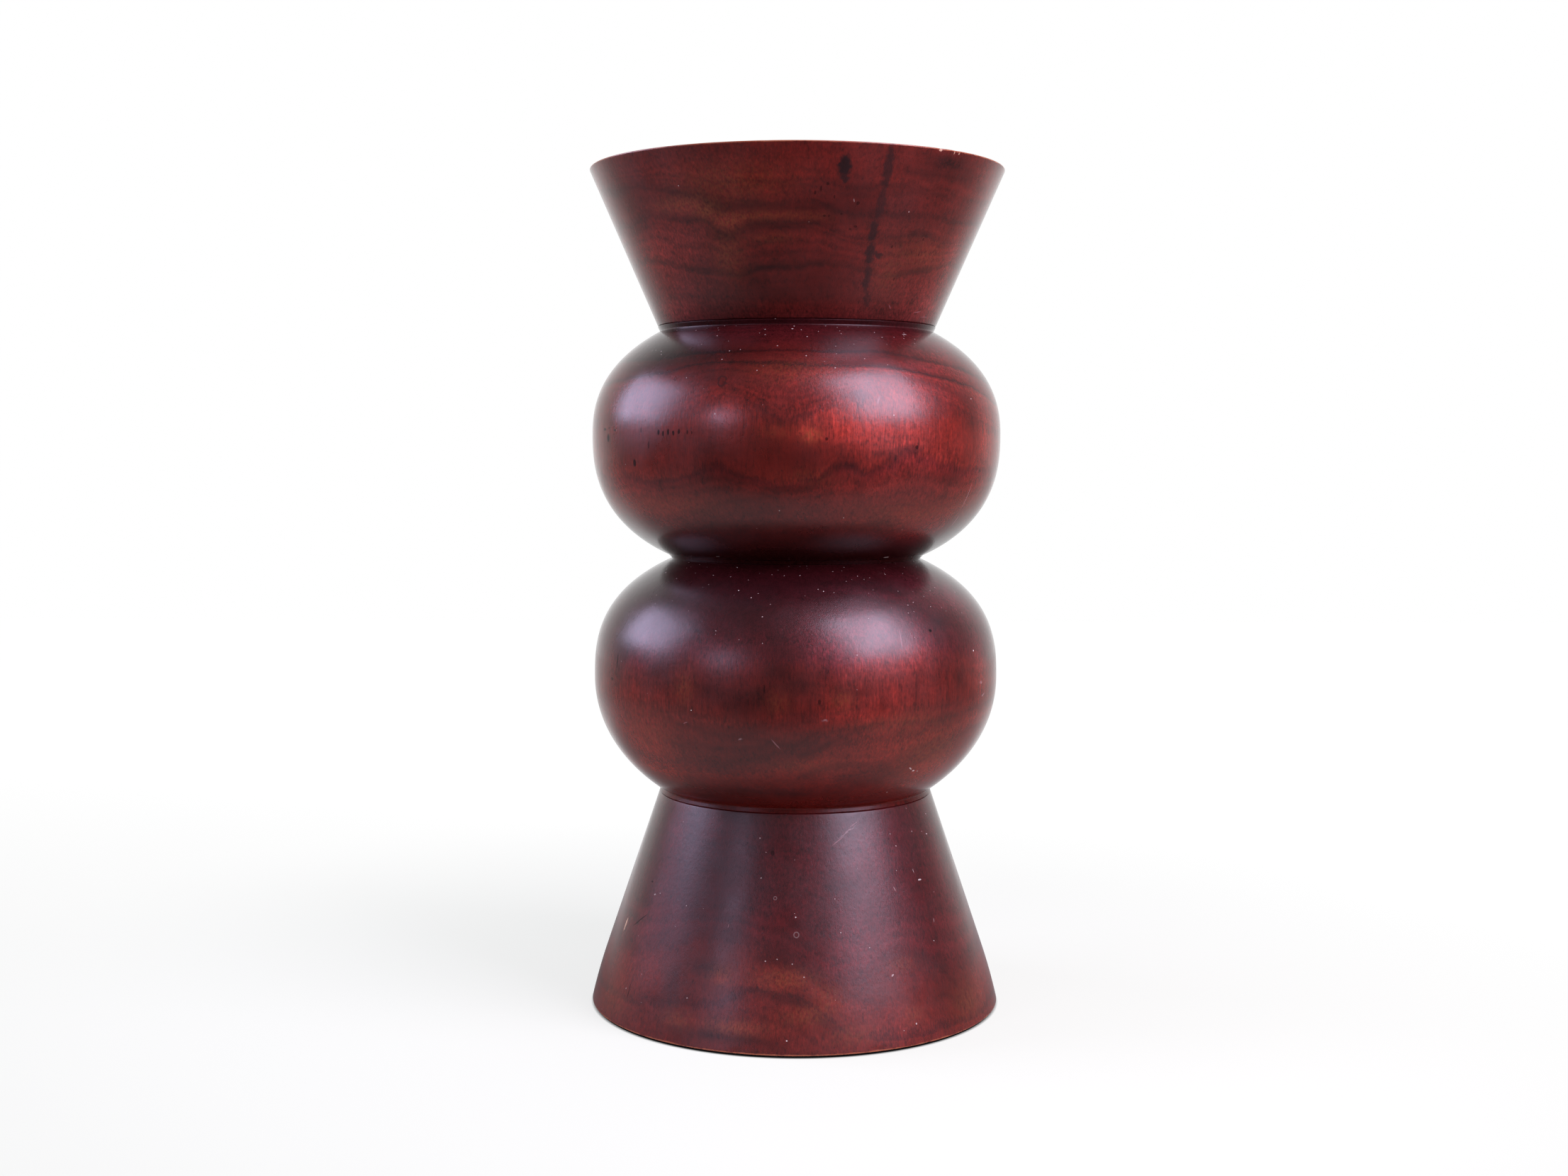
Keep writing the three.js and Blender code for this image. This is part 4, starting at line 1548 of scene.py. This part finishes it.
LOWER_BELLY_WOOD = StainedWood(
    name="stained_wood_lower_belly",
    blank=Blank(
        lot=(205, -330, 480),
        lines=(
            RingLine(0, ((0, 103.1),)),
            RingLine(20, (
                (-75, 113), (-30, 115), (0, 114), (15, 117), (22, 120), (30, 123), (36, 128.5), (42, 132),
                (55, 137), (75, 139), (120, 128), (180, 118), (240, 112),
            )),
            RingLine(30, (
                (-75, 129), (-45, 127), (-20, 127), (-10, 130), (0, 136), (8, 142.5), (14, 146),
                (25, 147.5), (45, 148), (75, 150), (120, 142), (180, 132), (240, 126),
            )),
            RingLine(42, (
                (-75, 152), (-50, 154), (-35, 151), (-27, 149), (-18, 147.5), (-10, 150), (0, 154),
                (20, 155.5), (40, 154), (60, 155), (90, 158), (140, 152), (200, 144), (250, 148),
            )),
            RingLine(56, (
                (-75, 170), (-60, 173), (-45, 168), (-38, 170), (-30, 175), (-10, 177), (0, 175), (10, 173),
                (20, 178), (35, 180), (50, 175), (75, 170), (130, 176), (200, 168), (250, 172),
            )),
            RingLine(68, ((-40, 188), (0, 192), (40, 195), (120, 188), (220, 190))),
            RingLine(90, ((0, 216),)),
        ),
        zones=(
            (0, "#470c08"), (8, "#500f0a"), (16, "#59110a"), (19.2, "#5c120c"), (20.4, "#4a0e09"),
            (21.6, "#60130c"), (25.5, "#67160b"), (28.8, "#5a110a"), (30, "#480e0a"), (31.6, "#58110a"),
            (38, "#5c110b"), (41, "#52100b"), (43.5, "#5f140d"), (50, "#5b1712"), (55, "#561412"),
            (57.5, "#481013"), (68, "#3b0d11"), (80, "#300b10"), (90, "#2e0b0e"),
        ),
        fibre=10,
        comb=9,
    ),
    roughness=0.335,
    corners=(103.1, 216),
    veins=(
        Vein(1.2, 0.24, (
            (-34, 146.2), (-28, 145.2), (-25, 143), (-20, 142.2), (-15, 142), (-8, 140.8), (-4.5, 138.8),
            (0, 139.2), (2.4, 141), (5, 144.4),
        )),
        Vein(1.2, 0.15, ((-12, 143.6), (-8, 145.6), (-4, 147.6), (4, 149.6))),
        Vein(1.5, 0.27, ((1, 134), (5, 135.6), (8, 138.6), (12, 142.6), (16, 145.2), (23, 148.4))),
        Vein(1.2, 0.15, ((-42, 138), (-30, 136.6), (-22, 136), (-15, 136.6), (-8, 138.6))),
        Vein(1.2, 0.21, ((2, 124.2), (5, 126), (9, 128), (14, 128.9), (21, 128.4))),
        Vein(1.4, 0.21, ((13, 121.8), (20, 124.4), (27, 127.6), (33, 131), (38, 134.6), (44, 138.6))),
        Vein(1.3, 0.21, ((19, 119.4), (26, 120.4), (31, 122), (36, 126), (42, 128.8))),
        Vein(1.3, 0.18, ((32, 138.6), (36, 141.4), (39, 145.4), (42, 148), (46, 149.6))),
        Vein(1.3, 0.15, ((44, 152.2), (48, 155.4), (52, 159.6))),
        Vein(1.4, 0.18, ((-6, 113.8), (6, 113.4), (12, 114.4), (19, 116.8), (28, 119.6))),
        Vein(1.8, 0.12, ((-32, 113.6), (-14, 114.2), (0, 114.6))),
        Vein(1.2, -0.18, ((2, 130.6), (12, 131.4), (22, 130.8), (30, 133.8))),
        Vein(1.2, -0.18, ((-34, 149.4), (-26, 148.4), (-18, 148), (-12, 149.8), (-4, 151.6))),
        Vein(1.1, 0.18, ((6, 193.2), (14, 191.6), (22, 193), (27, 194.2))),
        Vein(1.2, 0.18, ((-12, 207), (4, 208.2), (15, 209.2), (26, 207.2), (36, 203.6))),
        Vein(1.3, -0.23, ((12, 206.2), (20, 204.8), (30, 202.6), (42, 200.8))),
        Vein(1.2, 0.12, ((-30, 188.4), (-18, 187), (-6, 187.8))),
        Vein(1.4, 0.15, ((-42, 168.4), (-38, 170.2), (-34, 173.2), (-30, 174.8))),
    ),
    dye_and_painted_light=patches(
        (-24, 162, 4, 6.5, 0.45), (-14.5, 158.5, 5.2, 8, 0.55), (-9.6, 162, 1.6, 5, 0.25),
        (-6, 173, 3.6, 5, 0.35), (1, 166, 3.6, 5.5, 0.45), (6.5, 170, 2, 4, 0.25),
        (3.4, 156.5, 0.8, 4.5, 0.35), (-1.4, 157, 0.9, 5, 0.3), (23.2, 156, 0.9, 5, 0.35),
        (33.6, 163, 0.8, 4, 0.3), (12, 162.8, 1.6, 2, 0.3), (17.5, 162.2, 3.2, 2, 0.4),
        (49.5, 165, 1.6, 4, 0.4), (52.5, 161.5, 2, 1.6, 0.3), (-22, 136, 1.3, 1.1, 0.35),
        (12, 190, 10, 8, -0.25), (-12, 194, 10, 6, 0.35), (-7, 182, 7, 5, 0.25), (-4, 161, 7, 9, 0.25),
        (60, 204, 8, 9, -0.45), (-44, 178, 5, 8, -0.35), (9, 182, 7, 6, -0.5), (37, 184, 5, 8, -0.35),
        (-4, 170, 6, 6, 0.3), (-8, 158, 6, 7, 0.25), (61, 170, 4, 16, -0.3), (20, 147, 6, 4, -0.2),
        (44, 134, 5, 5, 0.3), (-36, 110, 18, 4, 0.3), (46, 191, 4.2, 2.2, 0.4), (-50, 150, 14, 14, -0.25),
        (24, 160, 10, 12, -0.2), (12, 154, 4, 3.5, -0.2), (-44, 130, 16, 8, -0.2), (48, 168, 9, 11, 0.25),
        (-40, 170, 5, 6, 0.3), (-58, 178, 5, 12, 0.3), (6, 139, 7, 4, 0.2), (-8, 136, 22, 10, 0.3),
        (-20, 113, 34, 10, 0.4), (44, 190, 7, 7, 0.25), (-10, 204, 24, 7, 0.3), (50, 146, 8, 10, 0.2),
        # Painted highlight: the first two patches on the next line brighten the wood under and in the key
        # softbox's reflection, the second of them in part over real lighter wood.
        (22, 175, 14, 6, -0.6), (20, 190, 15, 8, -0.5), (-26, 180, 14, 7, -0.25), (-50, 172, 9, 5, -0.3),
        (-50, 126, 10, 12, -0.35), (50, 118, 14, 10, -0.6), (12, 152, 14, 4, -0.15), (56, 202, 14, 8, -0.5),
    ),
    gold=patches(
        (-31, 163, 3, 7, 0.3), (-5, 158, 3, 5, 0.2), (12, 159, 3, 4, 0.3), (2, 129, 12, 3, 0.16),
        (44, 130, 14, 12, 0.32), (-46, 140, 12, 14, 0.22), (30, 148, 14, 5, 0.16),
    ),
    marks=(
        *marks(
            Blemish.PIT,
            (40.6, 187.3, 2.2, 1.7, 1), (-58.2, 171, 1.6, 8.4, 0.69), (-61, 162.4, 2.7, 1.7, 0.75, 20),
            (-8.4, 164, 0.9, 4.8, 0.62), (5.8, 158.4, 1.9, 2.9, 0.62),
        ),
        *marks(
            Blemish.RUB,
            (61.8, 161, 4.6, 1.8, 0.45), (63.4, 155, 4.8, 1.8, 0.45, -20), (7.4, 150.2, 3.4, 1.6, 0.42),
            (-15.2, 140.9, 2.8, 1.5, 0.5, -30),
        ),
        *marks(
            Blemish.SCRATCH,
            (-5.6, 139.2, 0.8, 8, 0.4, -38), (29.6, 184.4, 0.6, 14, 0.45, 2), (-31, 147, 0.7, 3.4, 0.4, 70),
        ),
        *marks(
            Blemish.LINT,
            (58.2, 176.3, 0.9, 1, 0.99), (-28.8, 153, 0.6, 0.6, 0.99), (-19.6, 205.4, 0.8, 0.6, 0.94),
            (8.8, 205.4, 0.6, 0.5, 0.88), (-25.6, 214.6, 1, 0.5, 0.88, 30),
            (37.2, 124.4, 0.8, 3, 0.55, -52), (39, 123, 1.8, 1, 0.75), (41, 122.4, 1, 0.5, 0.66, -20),
            (33.8, 112.4, 1, 0.6, 0.61, -30),
        ),
    ),
)

FOOT_WOOD = StainedWood(
    name="stained_wood_foot",
    blank=Blank(
        lot=(-405, -60, 35),
        lines=(
            RingLine(0, ((0, 1.1),)),
            RingLine(10, (
                (-75, 13), (-45, 14), (-36, 17), (-28, 20), (-20, 24), (-12, 27), (-7, 26.5), (0, 25),
                (5, 20), (10, 13.5), (15, 9), (22, 6), (30, 4.5), (75, 4), (120, 9), (180, 16), (240, 10),
            )),
            RingLine(22, (
                (-75, 34), (-55, 37), (-42, 40), (-30, 46), (-20, 48), (-12, 46), (-5, 41), (0, 37),
                (6, 33.5), (12, 32), (20, 34), (28, 39), (34, 40), (42, 36), (50, 30), (60, 27), (75, 28),
                (120, 34), (180, 44), (240, 36),
            )),
            RingLine(34, ((-60, 62), (-20, 66), (10, 58), (40, 60), (90, 56), (180, 66))),
            RingLine(60, ((0, 103),)),
        ),
        zones=(
            (0, "#58120d"), (4, "#5c140e"), (8.6, "#5c140e"), (10, "#4b0e0c"), (11.6, "#5b140e"),
            (16, "#60160f"), (20.4, "#57110e"), (22, "#490d0d"), (24.4, "#4f0e10"), (34, "#430b0f"),
            (48, "#3c090d"), (57, "#3d0a0e"), (60, "#480d0f"),
        ),
        fibre=4.5,
        comb=4,
    ),
    roughness=0.375,
    veins=(
        Vein(1.5, 0.21, ((-11, 41.4), (-5, 39.8), (0, 37.8), (5, 33.4), (10, 29), (16, 25), (22, 21.8))),
        Vein(1.8, 0.3, ((-13, 28.6), (-6, 25.4), (0, 23.6), (4, 20.6), (7, 15.6), (10.5, 12.2))),
        Vein(1.5, 0.18, ((-9, 16.6), (-3, 14.4), (1, 12.2), (4, 8.2), (6.4, 5.4))),
        Vein(1.8, 0.24, ((-26, 8), (-18, 7.4), (-12, 7.8), (-7, 5.4), (-3, 4.8))),
        Vein(1.4, 0.12, ((8, 47.4), (14, 43.6), (19, 41.2), (24, 41.8))),
        Vein(1.5, 0.18, ((21, 48.8), (25, 43.8), (30, 39.8))),
        Vein(1.4, 0.15, ((30, 23), (34, 18.8), (38, 14.2), (41, 9.6))),
        Vein(2, 0.24, ((38, 39.4), (44, 35.8), (47, 32.4), (50, 27), (53, 21.6))),
        Vein(1.5, 0.15, ((46, 19.6), (51, 15.2), (56, 9))),
        Vein(1.5, 0.18, ((-31, 34.6), (-26, 35.6), (-21, 34.2))),
        Vein(1.4, -0.23, ((-24, 31.4), (-19, 30.2), (-12, 30.6), (-6, 29))),
        Vein(1.5, -0.18, ((6, 27.6), (9, 24), (14, 20.8), (20, 19.4))),
        Vein(1.5, -0.18, ((-38, 9.6), (-30, 12.4), (-20, 13), (-12, 12))),
        Vein(1.6, 0.12, ((-12, 70), (-4, 67.6), (6, 69.8))),
        Vein(1.5, 0.12, ((10, 71.8), (18, 70), (28, 72.4))),
    ),
    dye_and_painted_light=patches(
        (-22, 9.5, 3, 4, 0.3), (-0.5, 55.6, 2.2, 1.6, 0.35), (49, 56, 1, 6, 0.25),
        (-22, 33, 1.4, 2.2, -0.3), (18, 48, 9, 16, -0.25), (-38, 26, 4, 12, 0.4), (-14, 7, 12, 3, 0.25),
        (-6, 2, 12, 2, 0.2), (2, 24, 6, 2.4, 0.25), (8, 15.5, 3, 4, 0.2), (-8, 42, 5, 3, 0.25),
        (-44, 82, 8, 14, 0.15), (-21, 60, 6, 34, 0.25), (26, 86, 9, 12, -0.3), (-27, 52, 15, 60, 0.35),
        # Painted highlight: the first patch on the next line, at turn -52 and height 82, brightens the wood
        # where the side softbox's reflection lies.
        (-52, 82, 8, 20, -0.35), (-26, 101, 14, 3, 0.4), (24, 101, 8, 3, 0.35), (-36, 58, 4, 9, 0.25),
        (0, 46, 8, 10, 0.2), (2, 28, 5, 5, 0.15), (56, 15, 7, 8, 0.35), (-32, 6, 6, 4, 0.25),
        (-2, 52, 8, 9, 0.15), (46, 66, 3, 2.4, 0.4), (49, 44, 2, 14, 0.2), (45, 20, 10, 12, 0.4),
        (24, 28, 9, 7, 0.25), (-28, 36, 6, 6, 0.25), (36, 82, 8, 24, -0.25), (6, 86, 6, 14, -0.18),
        (-34, 96, 5, 8, -0.4), (-52, 92, 6, 8, -0.3), (64, 70, 8, 30, -0.2), (28, 9, 12, 6, -0.15),
        (-56, 40, 8, 16, -0.2),
    ),
    gold=patches(
        (-22, 33, 4, 4, 0.3), (-3, 33, 8, 4, 0.4), (3, 18, 6, 4, 0.3), (-16, 12, 8, 3, 0.4),
        (-34, 12, 5, 4, 0.3), (9, 25, 4, 6, 0.3), (15, 9, 6, 5, 0.25), (33, 36, 5, 2.6, 0.25),
        (34, 14, 3, 4, 0.25), (58, 12, 8, 8, 0.3), (-62, 12, 8, 8, 0.25),
    ),
    marks=(
        *marks(
            Blemish.PIT,
            (-59.6, 48, 0.9, 15.6, 0.81, 52), (-54.6, 18, 0.8, 9.6, 0.69, 2), (-58.8, 65.8, 2.4, 1.1, 0.88),
            (-8.4, 86, 2.2, 3.1, 0.62),
        ),
        *marks(Blemish.RUB, (20, 94.6, 1, 15, 0.45, 60)),
        *marks(
            Blemish.SCRATCH,
            (16, 91, 0.6, 9, 0.4, 56), (23, 97.6, 0.5, 8, 0.4, 62), (-21.6, 54, 0.4, 2.4, 0.4, 10),
        ),
        *marks(Blemish.BARE, (-68.9, 43, 1.8, 7.5, 0.9, 6)),
        *marks(
            Blemish.LINT,
            (0, 59, 0.8, 0.8, 0.7), (-2.3, 7.6, 0.9, 0.8, 0.7), (34.4, 10.2, 0.9, 0.9, 0.7),
            (2.4, 34, 0.6, 0.6, 0.69), (-1, 39.4, 0.5, 0.6, 0.62), (-54.9, 61, 1.6, 0.8, 0.49, -20),
            (-52.2, 62.2, 0.7, 0.5, 0.54), (48.2, 69.6, 2.8, 0.9, 0.63), (46, 74, 0.5, 2.4, 0.28, -12),
            (29.2, 32, 1.8, 0.9, 0.42, -40), (35.6, 68, 0.5, 2.6, 0.28, -20),
            (50.2, 51, 0.5, 2.4, 0.28, 10), (47.8, 42.6, 0.6, 0.6, 0.62), (38, 75.6, 0.6, 0.4, 0.54),
            (-31.6, 21.6, 0.6, 0.6, 0.62), (-12, 75.2, 0.9, 0.4, 0.46, -20), (60.4, 87.8, 1.6, 0.8, 0.42),
            (38.6, 91.6, 0.6, 0.5, 0.54),
        ),
        *marks(Blemish.LINT, (0.2, 51.6, 2.8, 3, 0.13), (-6.8, 66.9, 1.8, 1.8, 0.15), hollow=True),
    ),
    edges=(WornEdge(98.7, 1.4, 1, 0.42),),
)

BEECH = TurnedBeech()
ALUMINIUM = SpunAluminium()
FELT = PressedFelt()

PIECES = (
    Pad("base_pad", "felt", FELT, steps=256),
    Foot(
        "foot",
        "stained_wood",
        FOOT_WOOD,
        steps=600,
        dents=patches((-15, 2, 1.2, 0.9, 0.3), (22, 2, 2, 0.8, 0.25), (38, 1.8, 1, 0.9, 0.35)),
        shrinkage=0.0009,
        widest_turn=55.0,
    ),
    Tenon("foot_tenon", "beech", BEECH, steps=160),
    LowerBelly(
        "lower_belly",
        "stained_wood",
        LOWER_BELLY_WOOD,
        widest_height=56.1,
        below=HalfBelly(90, 2.02),
        above=HalfBelly(149, 2.64),
        bottom_collar=Collar(65.9, 65.19, 2.1, 0.5),
        top_collar=Collar(60.2, 60.2, 0.28, 0.25),
        shrinkage=0.0007,
        widest_turn=-20.0,
    ),
    Tenon("waist_tenon", "beech", BEECH, steps=200, bore_radius=JOINTS.bore_radius),
    UpperBelly(
        "upper_belly",
        "stained_wood",
        UPPER_BELLY_WOOD,
        widest_height=58.4,
        below=HalfBelly(101, 2.41),
        above=HalfBelly(127, 2.33),
        bottom_collar=Collar(60.2, 61.6, 1.7, 0.4),
        top_collar=Collar(66.5, 65.4, 2.5, 0.7),
        shrinkage=0.0008,
        widest_turn=70.0,
    ),
    Tenon("neck_tenon", "beech", BEECH, steps=200, bore_radius=JOINTS.bore_radius),
    Mouth(
        "mouth",
        "stained_wood",
        MOUTH_WOOD,
        steps=560,
        dents=patches((39.4, 399.6, 0.8, 1, 0.5), (45.2, 399.2, 0.9, 1.4, 0.45), (-8, 399.8, 0.8, 0.8, 0.3)),
        shrinkage=0.0008,
        widest_turn=15.0,
    ),
    Liner("water_liner", "aluminium", ALUMINIUM, body="liner", steps=256),
)


@dataclass(frozen=True)
class Softbox:
    """A studio softbox: a soft rectangle of light that faces the vase, in metres and watts."""

    name: str
    place: tuple[float, float, float]
    width: float
    height: float
    power: float
    tint: tuple[float, float, float]

    def build(self, aim: Vector) -> None:
        """Adds the lamp.

        Args:
            aim: the point that it faces.
        """
        lamp = bpy.data.lights.new(self.name, "AREA")
        lamp.shape = "RECTANGLE"
        lamp.size, lamp.size_y = self.width, self.height
        lamp.energy = self.power
        lamp.color = self.tint
        stand = bpy.data.objects.new(self.name, lamp)
        stand.location = self.place
        stand.rotation_euler = (aim - Vector(self.place)).to_track_quat("-Z", "Y").to_euler()
        stand.visible_camera = False
        bpy.context.scene.collection.objects.link(stand)


@dataclass(frozen=True)
class Studio:
    """The photo studio: a white sheet on a dark table, softboxes on both sides and a bright wall behind.

    Its places are in metres, its angles in degrees and the lens and its sensor in millimetres. The
    softboxes aim at one point. The paper fades out from paper_front to paper_end, before the camera. wall
    holds the wall's brightness, by how far a direction points to the back.
    """

    softboxes: tuple[Softbox, ...] = (
        Softbox("key_softbox", (0.715, -0.573, 0.88), 0.72, 0.92, 18.7, (0.89, 0.75, 1.0)),
        Softbox("side_softbox", (-1.090, 0.110, 0.690), 0.80, 0.60, 9.9, (0.745, 0.68, 1.0)),
        Softbox("small_softbox", (-2.476, -2.735, 1.137), 0.42, 0.42, 11.0, (0.80, 0.68, 1.0)),
    )
    aim: tuple[float, float, float] = (0, 0, 0.22)
    wall: tuple[tuple[float, float], ...] = (
        (0, 0.1), (0.3, 0.15), (0.45, 0.27), (0.6, 0.52), (0.7, 0.70), (0.87, 0.90), (1, 0.98),
    )
    ambient: Colour = (0.35, 0.35, 0.355, 1)
    half_floor: float = 2.0
    paper_front: float = -0.30
    paper_end: float = -0.33
    pad_edge: float = 0.0974
    foot_edge: float = 0.0996
    camera_place: tuple[float, float, float] = (-0.00571, -0.9281, 0.2708)
    camera_dip: float = 4.298
    camera_roll: float = 0.173
    lens: float = 44.06
    sensor: float = 36.0

    def lit_wall(self, nodes: Nodes, direction: object) -> bpy.types.Node:
        """Adds the lit wall that fills the back of the room, whose light falls off towards the dark front.

        Args:
            nodes: the nodes of the world or the material.
            direction: the unit direction in which the wall is seen.

        Returns:
            The wall's colour.
        """
        back = nodes.add("SeparateXYZ", direction).outputs["Y"]
        stops = [(place, (level, level, level, 1)) for place, level in self.wall]
        return fill(nodes.add("ValToRGB", back), stops)

    def wall_and_room(self) -> None:
        """Sets the world: white to the camera, the lit wall in reflections, and plain grey as light."""
        world = bpy.data.worlds.new("studio")
        bpy.context.scene.world = world
        nodes = Nodes(world)
        ray = nodes.add("LightPath")
        wall = self.lit_wall(nodes, nodes.add("TexCoord").outputs["Generated"])
        mirrored = {"Factor": ray.outputs["Is Glossy Ray"], "A": self.ambient, "B": wall}
        indirect = nodes.add("Mix", mirrored, data_type="RGBA")
        direct = {"Factor": ray.outputs["Is Camera Ray"], "A": indirect, "B": (1, 1, 1, 1)}
        nodes.add("OutputWorld", nodes.add("Background", nodes.add("Mix", direct, data_type="RGBA"), 1.0))

    def sheet(self) -> bpy.types.Material:
        """Builds the floor's material: white paper that ends before the camera, on a dark table.

        Returns:
            The material.
        """
        material = bpy.data.materials.new("paper_on_table")
        nodes = Nodes(material)
        here = nodes.add("TexCoord").outputs["Object"]
        depth = nodes.add("SeparateXYZ", here).outputs["Y"]
        paper = nodes.add("MapRange", depth, {"From Min": self.paper_end, "From Max": self.paper_front})
        ray = nodes.add("LightPath")
        reach = nodes.add("VectorMath", here, operation="LENGTH")
        # Reflections see the paper lit by the softboxes near the vase and run up into the bright wall behind
        # it, and other light bounces off it evenly
        mirrored = ray.outputs["Is Glossy Ray"]
        # Painted shade: in reflections the paper is darker than to other light, 0.33 of white by the vase and
        # fading to nothing 0.9 m away, where the bright wall takes over
        ends = {"From Min": 0.2, "From Max": 0.9, "To Min": 0.33, "To Max": 0.0}
        painted_shade_in_reflections = nodes.add("MapRange", reach, ends)
        pale = nodes.add("Mix", {"Factor": mirrored, "A": 0.8, "B": painted_shade_in_reflections}, data_type="FLOAT")
        shade = nodes.add("Mix", {"Factor": paper, "A": 0.06, "B": pale}, data_type="FLOAT")
        # The paper is a warm white
        shade = nodes.add("VectorMath", (1.0, 1.0, 0.85), {"Scale": shade}, operation="SCALE")
        lit = nodes.add("BsdfDiffuse", shade)
        seen_from = nodes.add("VectorMath", here, (0.0, 0.0, 0.2), operation="SUBTRACT")
        wall = self.lit_wall(nodes, nodes.add("VectorMath", seen_from, operation="NORMALIZE"))
        rising = nodes.add("MapRange", reach, {"From Min": 0.1, "From Max": 0.5, "To Max": 0.85})
        rising = nodes.add("Math", rising, mirrored, operation="MULTIPLY")
        rising = nodes.add("Math", rising, paper, operation="MULTIPLY")
        lit = nodes.add("AddShader", lit, nodes.add("Emission", wall, rising))
        # To the camera the paper is white by its own colour, with a painted shade that darkens it a little
        # on the left and in front, and the light on it near the foot adds the shadow
        far = nodes.add("MapRange", reach, {"From Min": 0.16, "From Max": 0.5}, **SOFT)
        painted_falloff = nodes.add("VectorMath", here, (0.06, 0.12, 0.0), operation="DOT_PRODUCT")
        level = nodes.add("Math", painted_falloff, 0.955, operation="ADD", use_clamp=True)
        fade = nodes.add("MapRange", reach, {"From Min": 0.5, "From Max": 1.6}, **SOFT)
        level = nodes.add("Mix", {"Factor": fade, "A": level, "B": 1.0}, data_type="FLOAT")
        own = nodes.add("MapRange", far, {"To Min": 0.71, "To Max": level})
        share = nodes.add("MapRange", far, {"To Min": 0.235, "To Max": 0.01})
        # No light gets under the overhang of the foot, 2 mm wide round the pad
        open_to = nodes.add("MapRange", reach, {"From Min": self.pad_edge, "From Max": self.foot_edge})
        own = nodes.add("Math", own, open_to, operation="MULTIPLY")
        share = nodes.add("Math", share, open_to, operation="MULTIPLY")
        # The softboxes are a little magenta, and the paper's tint evens that out
        share = nodes.add("VectorMath", (1.0, 1.1, 0.9), {"Scale": share}, operation="SCALE")
        shaded = nodes.add("BsdfDiffuse", share)
        glow = nodes.add("Emission", own, 1.0)
        shown = nodes.add("AddShader", shaded, glow)
        nodes.add("OutputMaterial", nodes.add("MixShader", ray.outputs["Is Camera Ray"], lit, shown))
        return material

    def floor(self) -> None:
        """Lays the floor."""
        half = self.half_floor
        mesh = bpy.data.meshes.new("floor")
        corners = [(-half, -half, 0), (half, -half, 0), (half, half, 0), (-half, half, 0)]
        mesh.from_pydata(corners, [], [(0, 1, 2, 3)])
        mesh.materials.append(self.sheet())
        floor = bpy.data.objects.new("floor", mesh)
        bpy.context.scene.collection.objects.link(floor)

    def camera(self) -> None:
        """Sets up the camera as the photo was taken: level with the neck, from a little under a metre."""
        lens = bpy.data.cameras.new("camera")
        lens.sensor_fit = "HORIZONTAL"
        lens.sensor_width = self.sensor
        lens.lens = self.lens
        camera = bpy.data.objects.new("camera", lens)
        tilt, roll = math.radians(90 - self.camera_dip), math.radians(self.camera_roll)
        stand = Matrix.Translation(self.camera_place)
        camera.matrix_world = stand @ Matrix.Rotation(tilt, 4, "X") @ Matrix.Rotation(roll, 4, "Z")
        bpy.context.scene.collection.objects.link(camera)
        bpy.context.scene.camera = camera

    def build(self) -> None:
        """Sets up the light, the floor and the camera."""
        for softbox in self.softboxes:
            softbox.build(Vector(self.aim))
        self.wall_and_room()
        self.floor()
        self.camera()


def main() -> None:
    """Builds the vase in its studio."""
    logging.basicConfig(level=logging.INFO, format="%(name)s: %(message)s")
    scene = bpy.context.scene
    scene.render.resolution_x, scene.render.resolution_y = PHOTO_SIZE
    scene.view_settings.view_transform = "Standard"
    for piece in PIECES:
        piece.build()
    Studio().build()


if __name__ == "__main__":
    main()
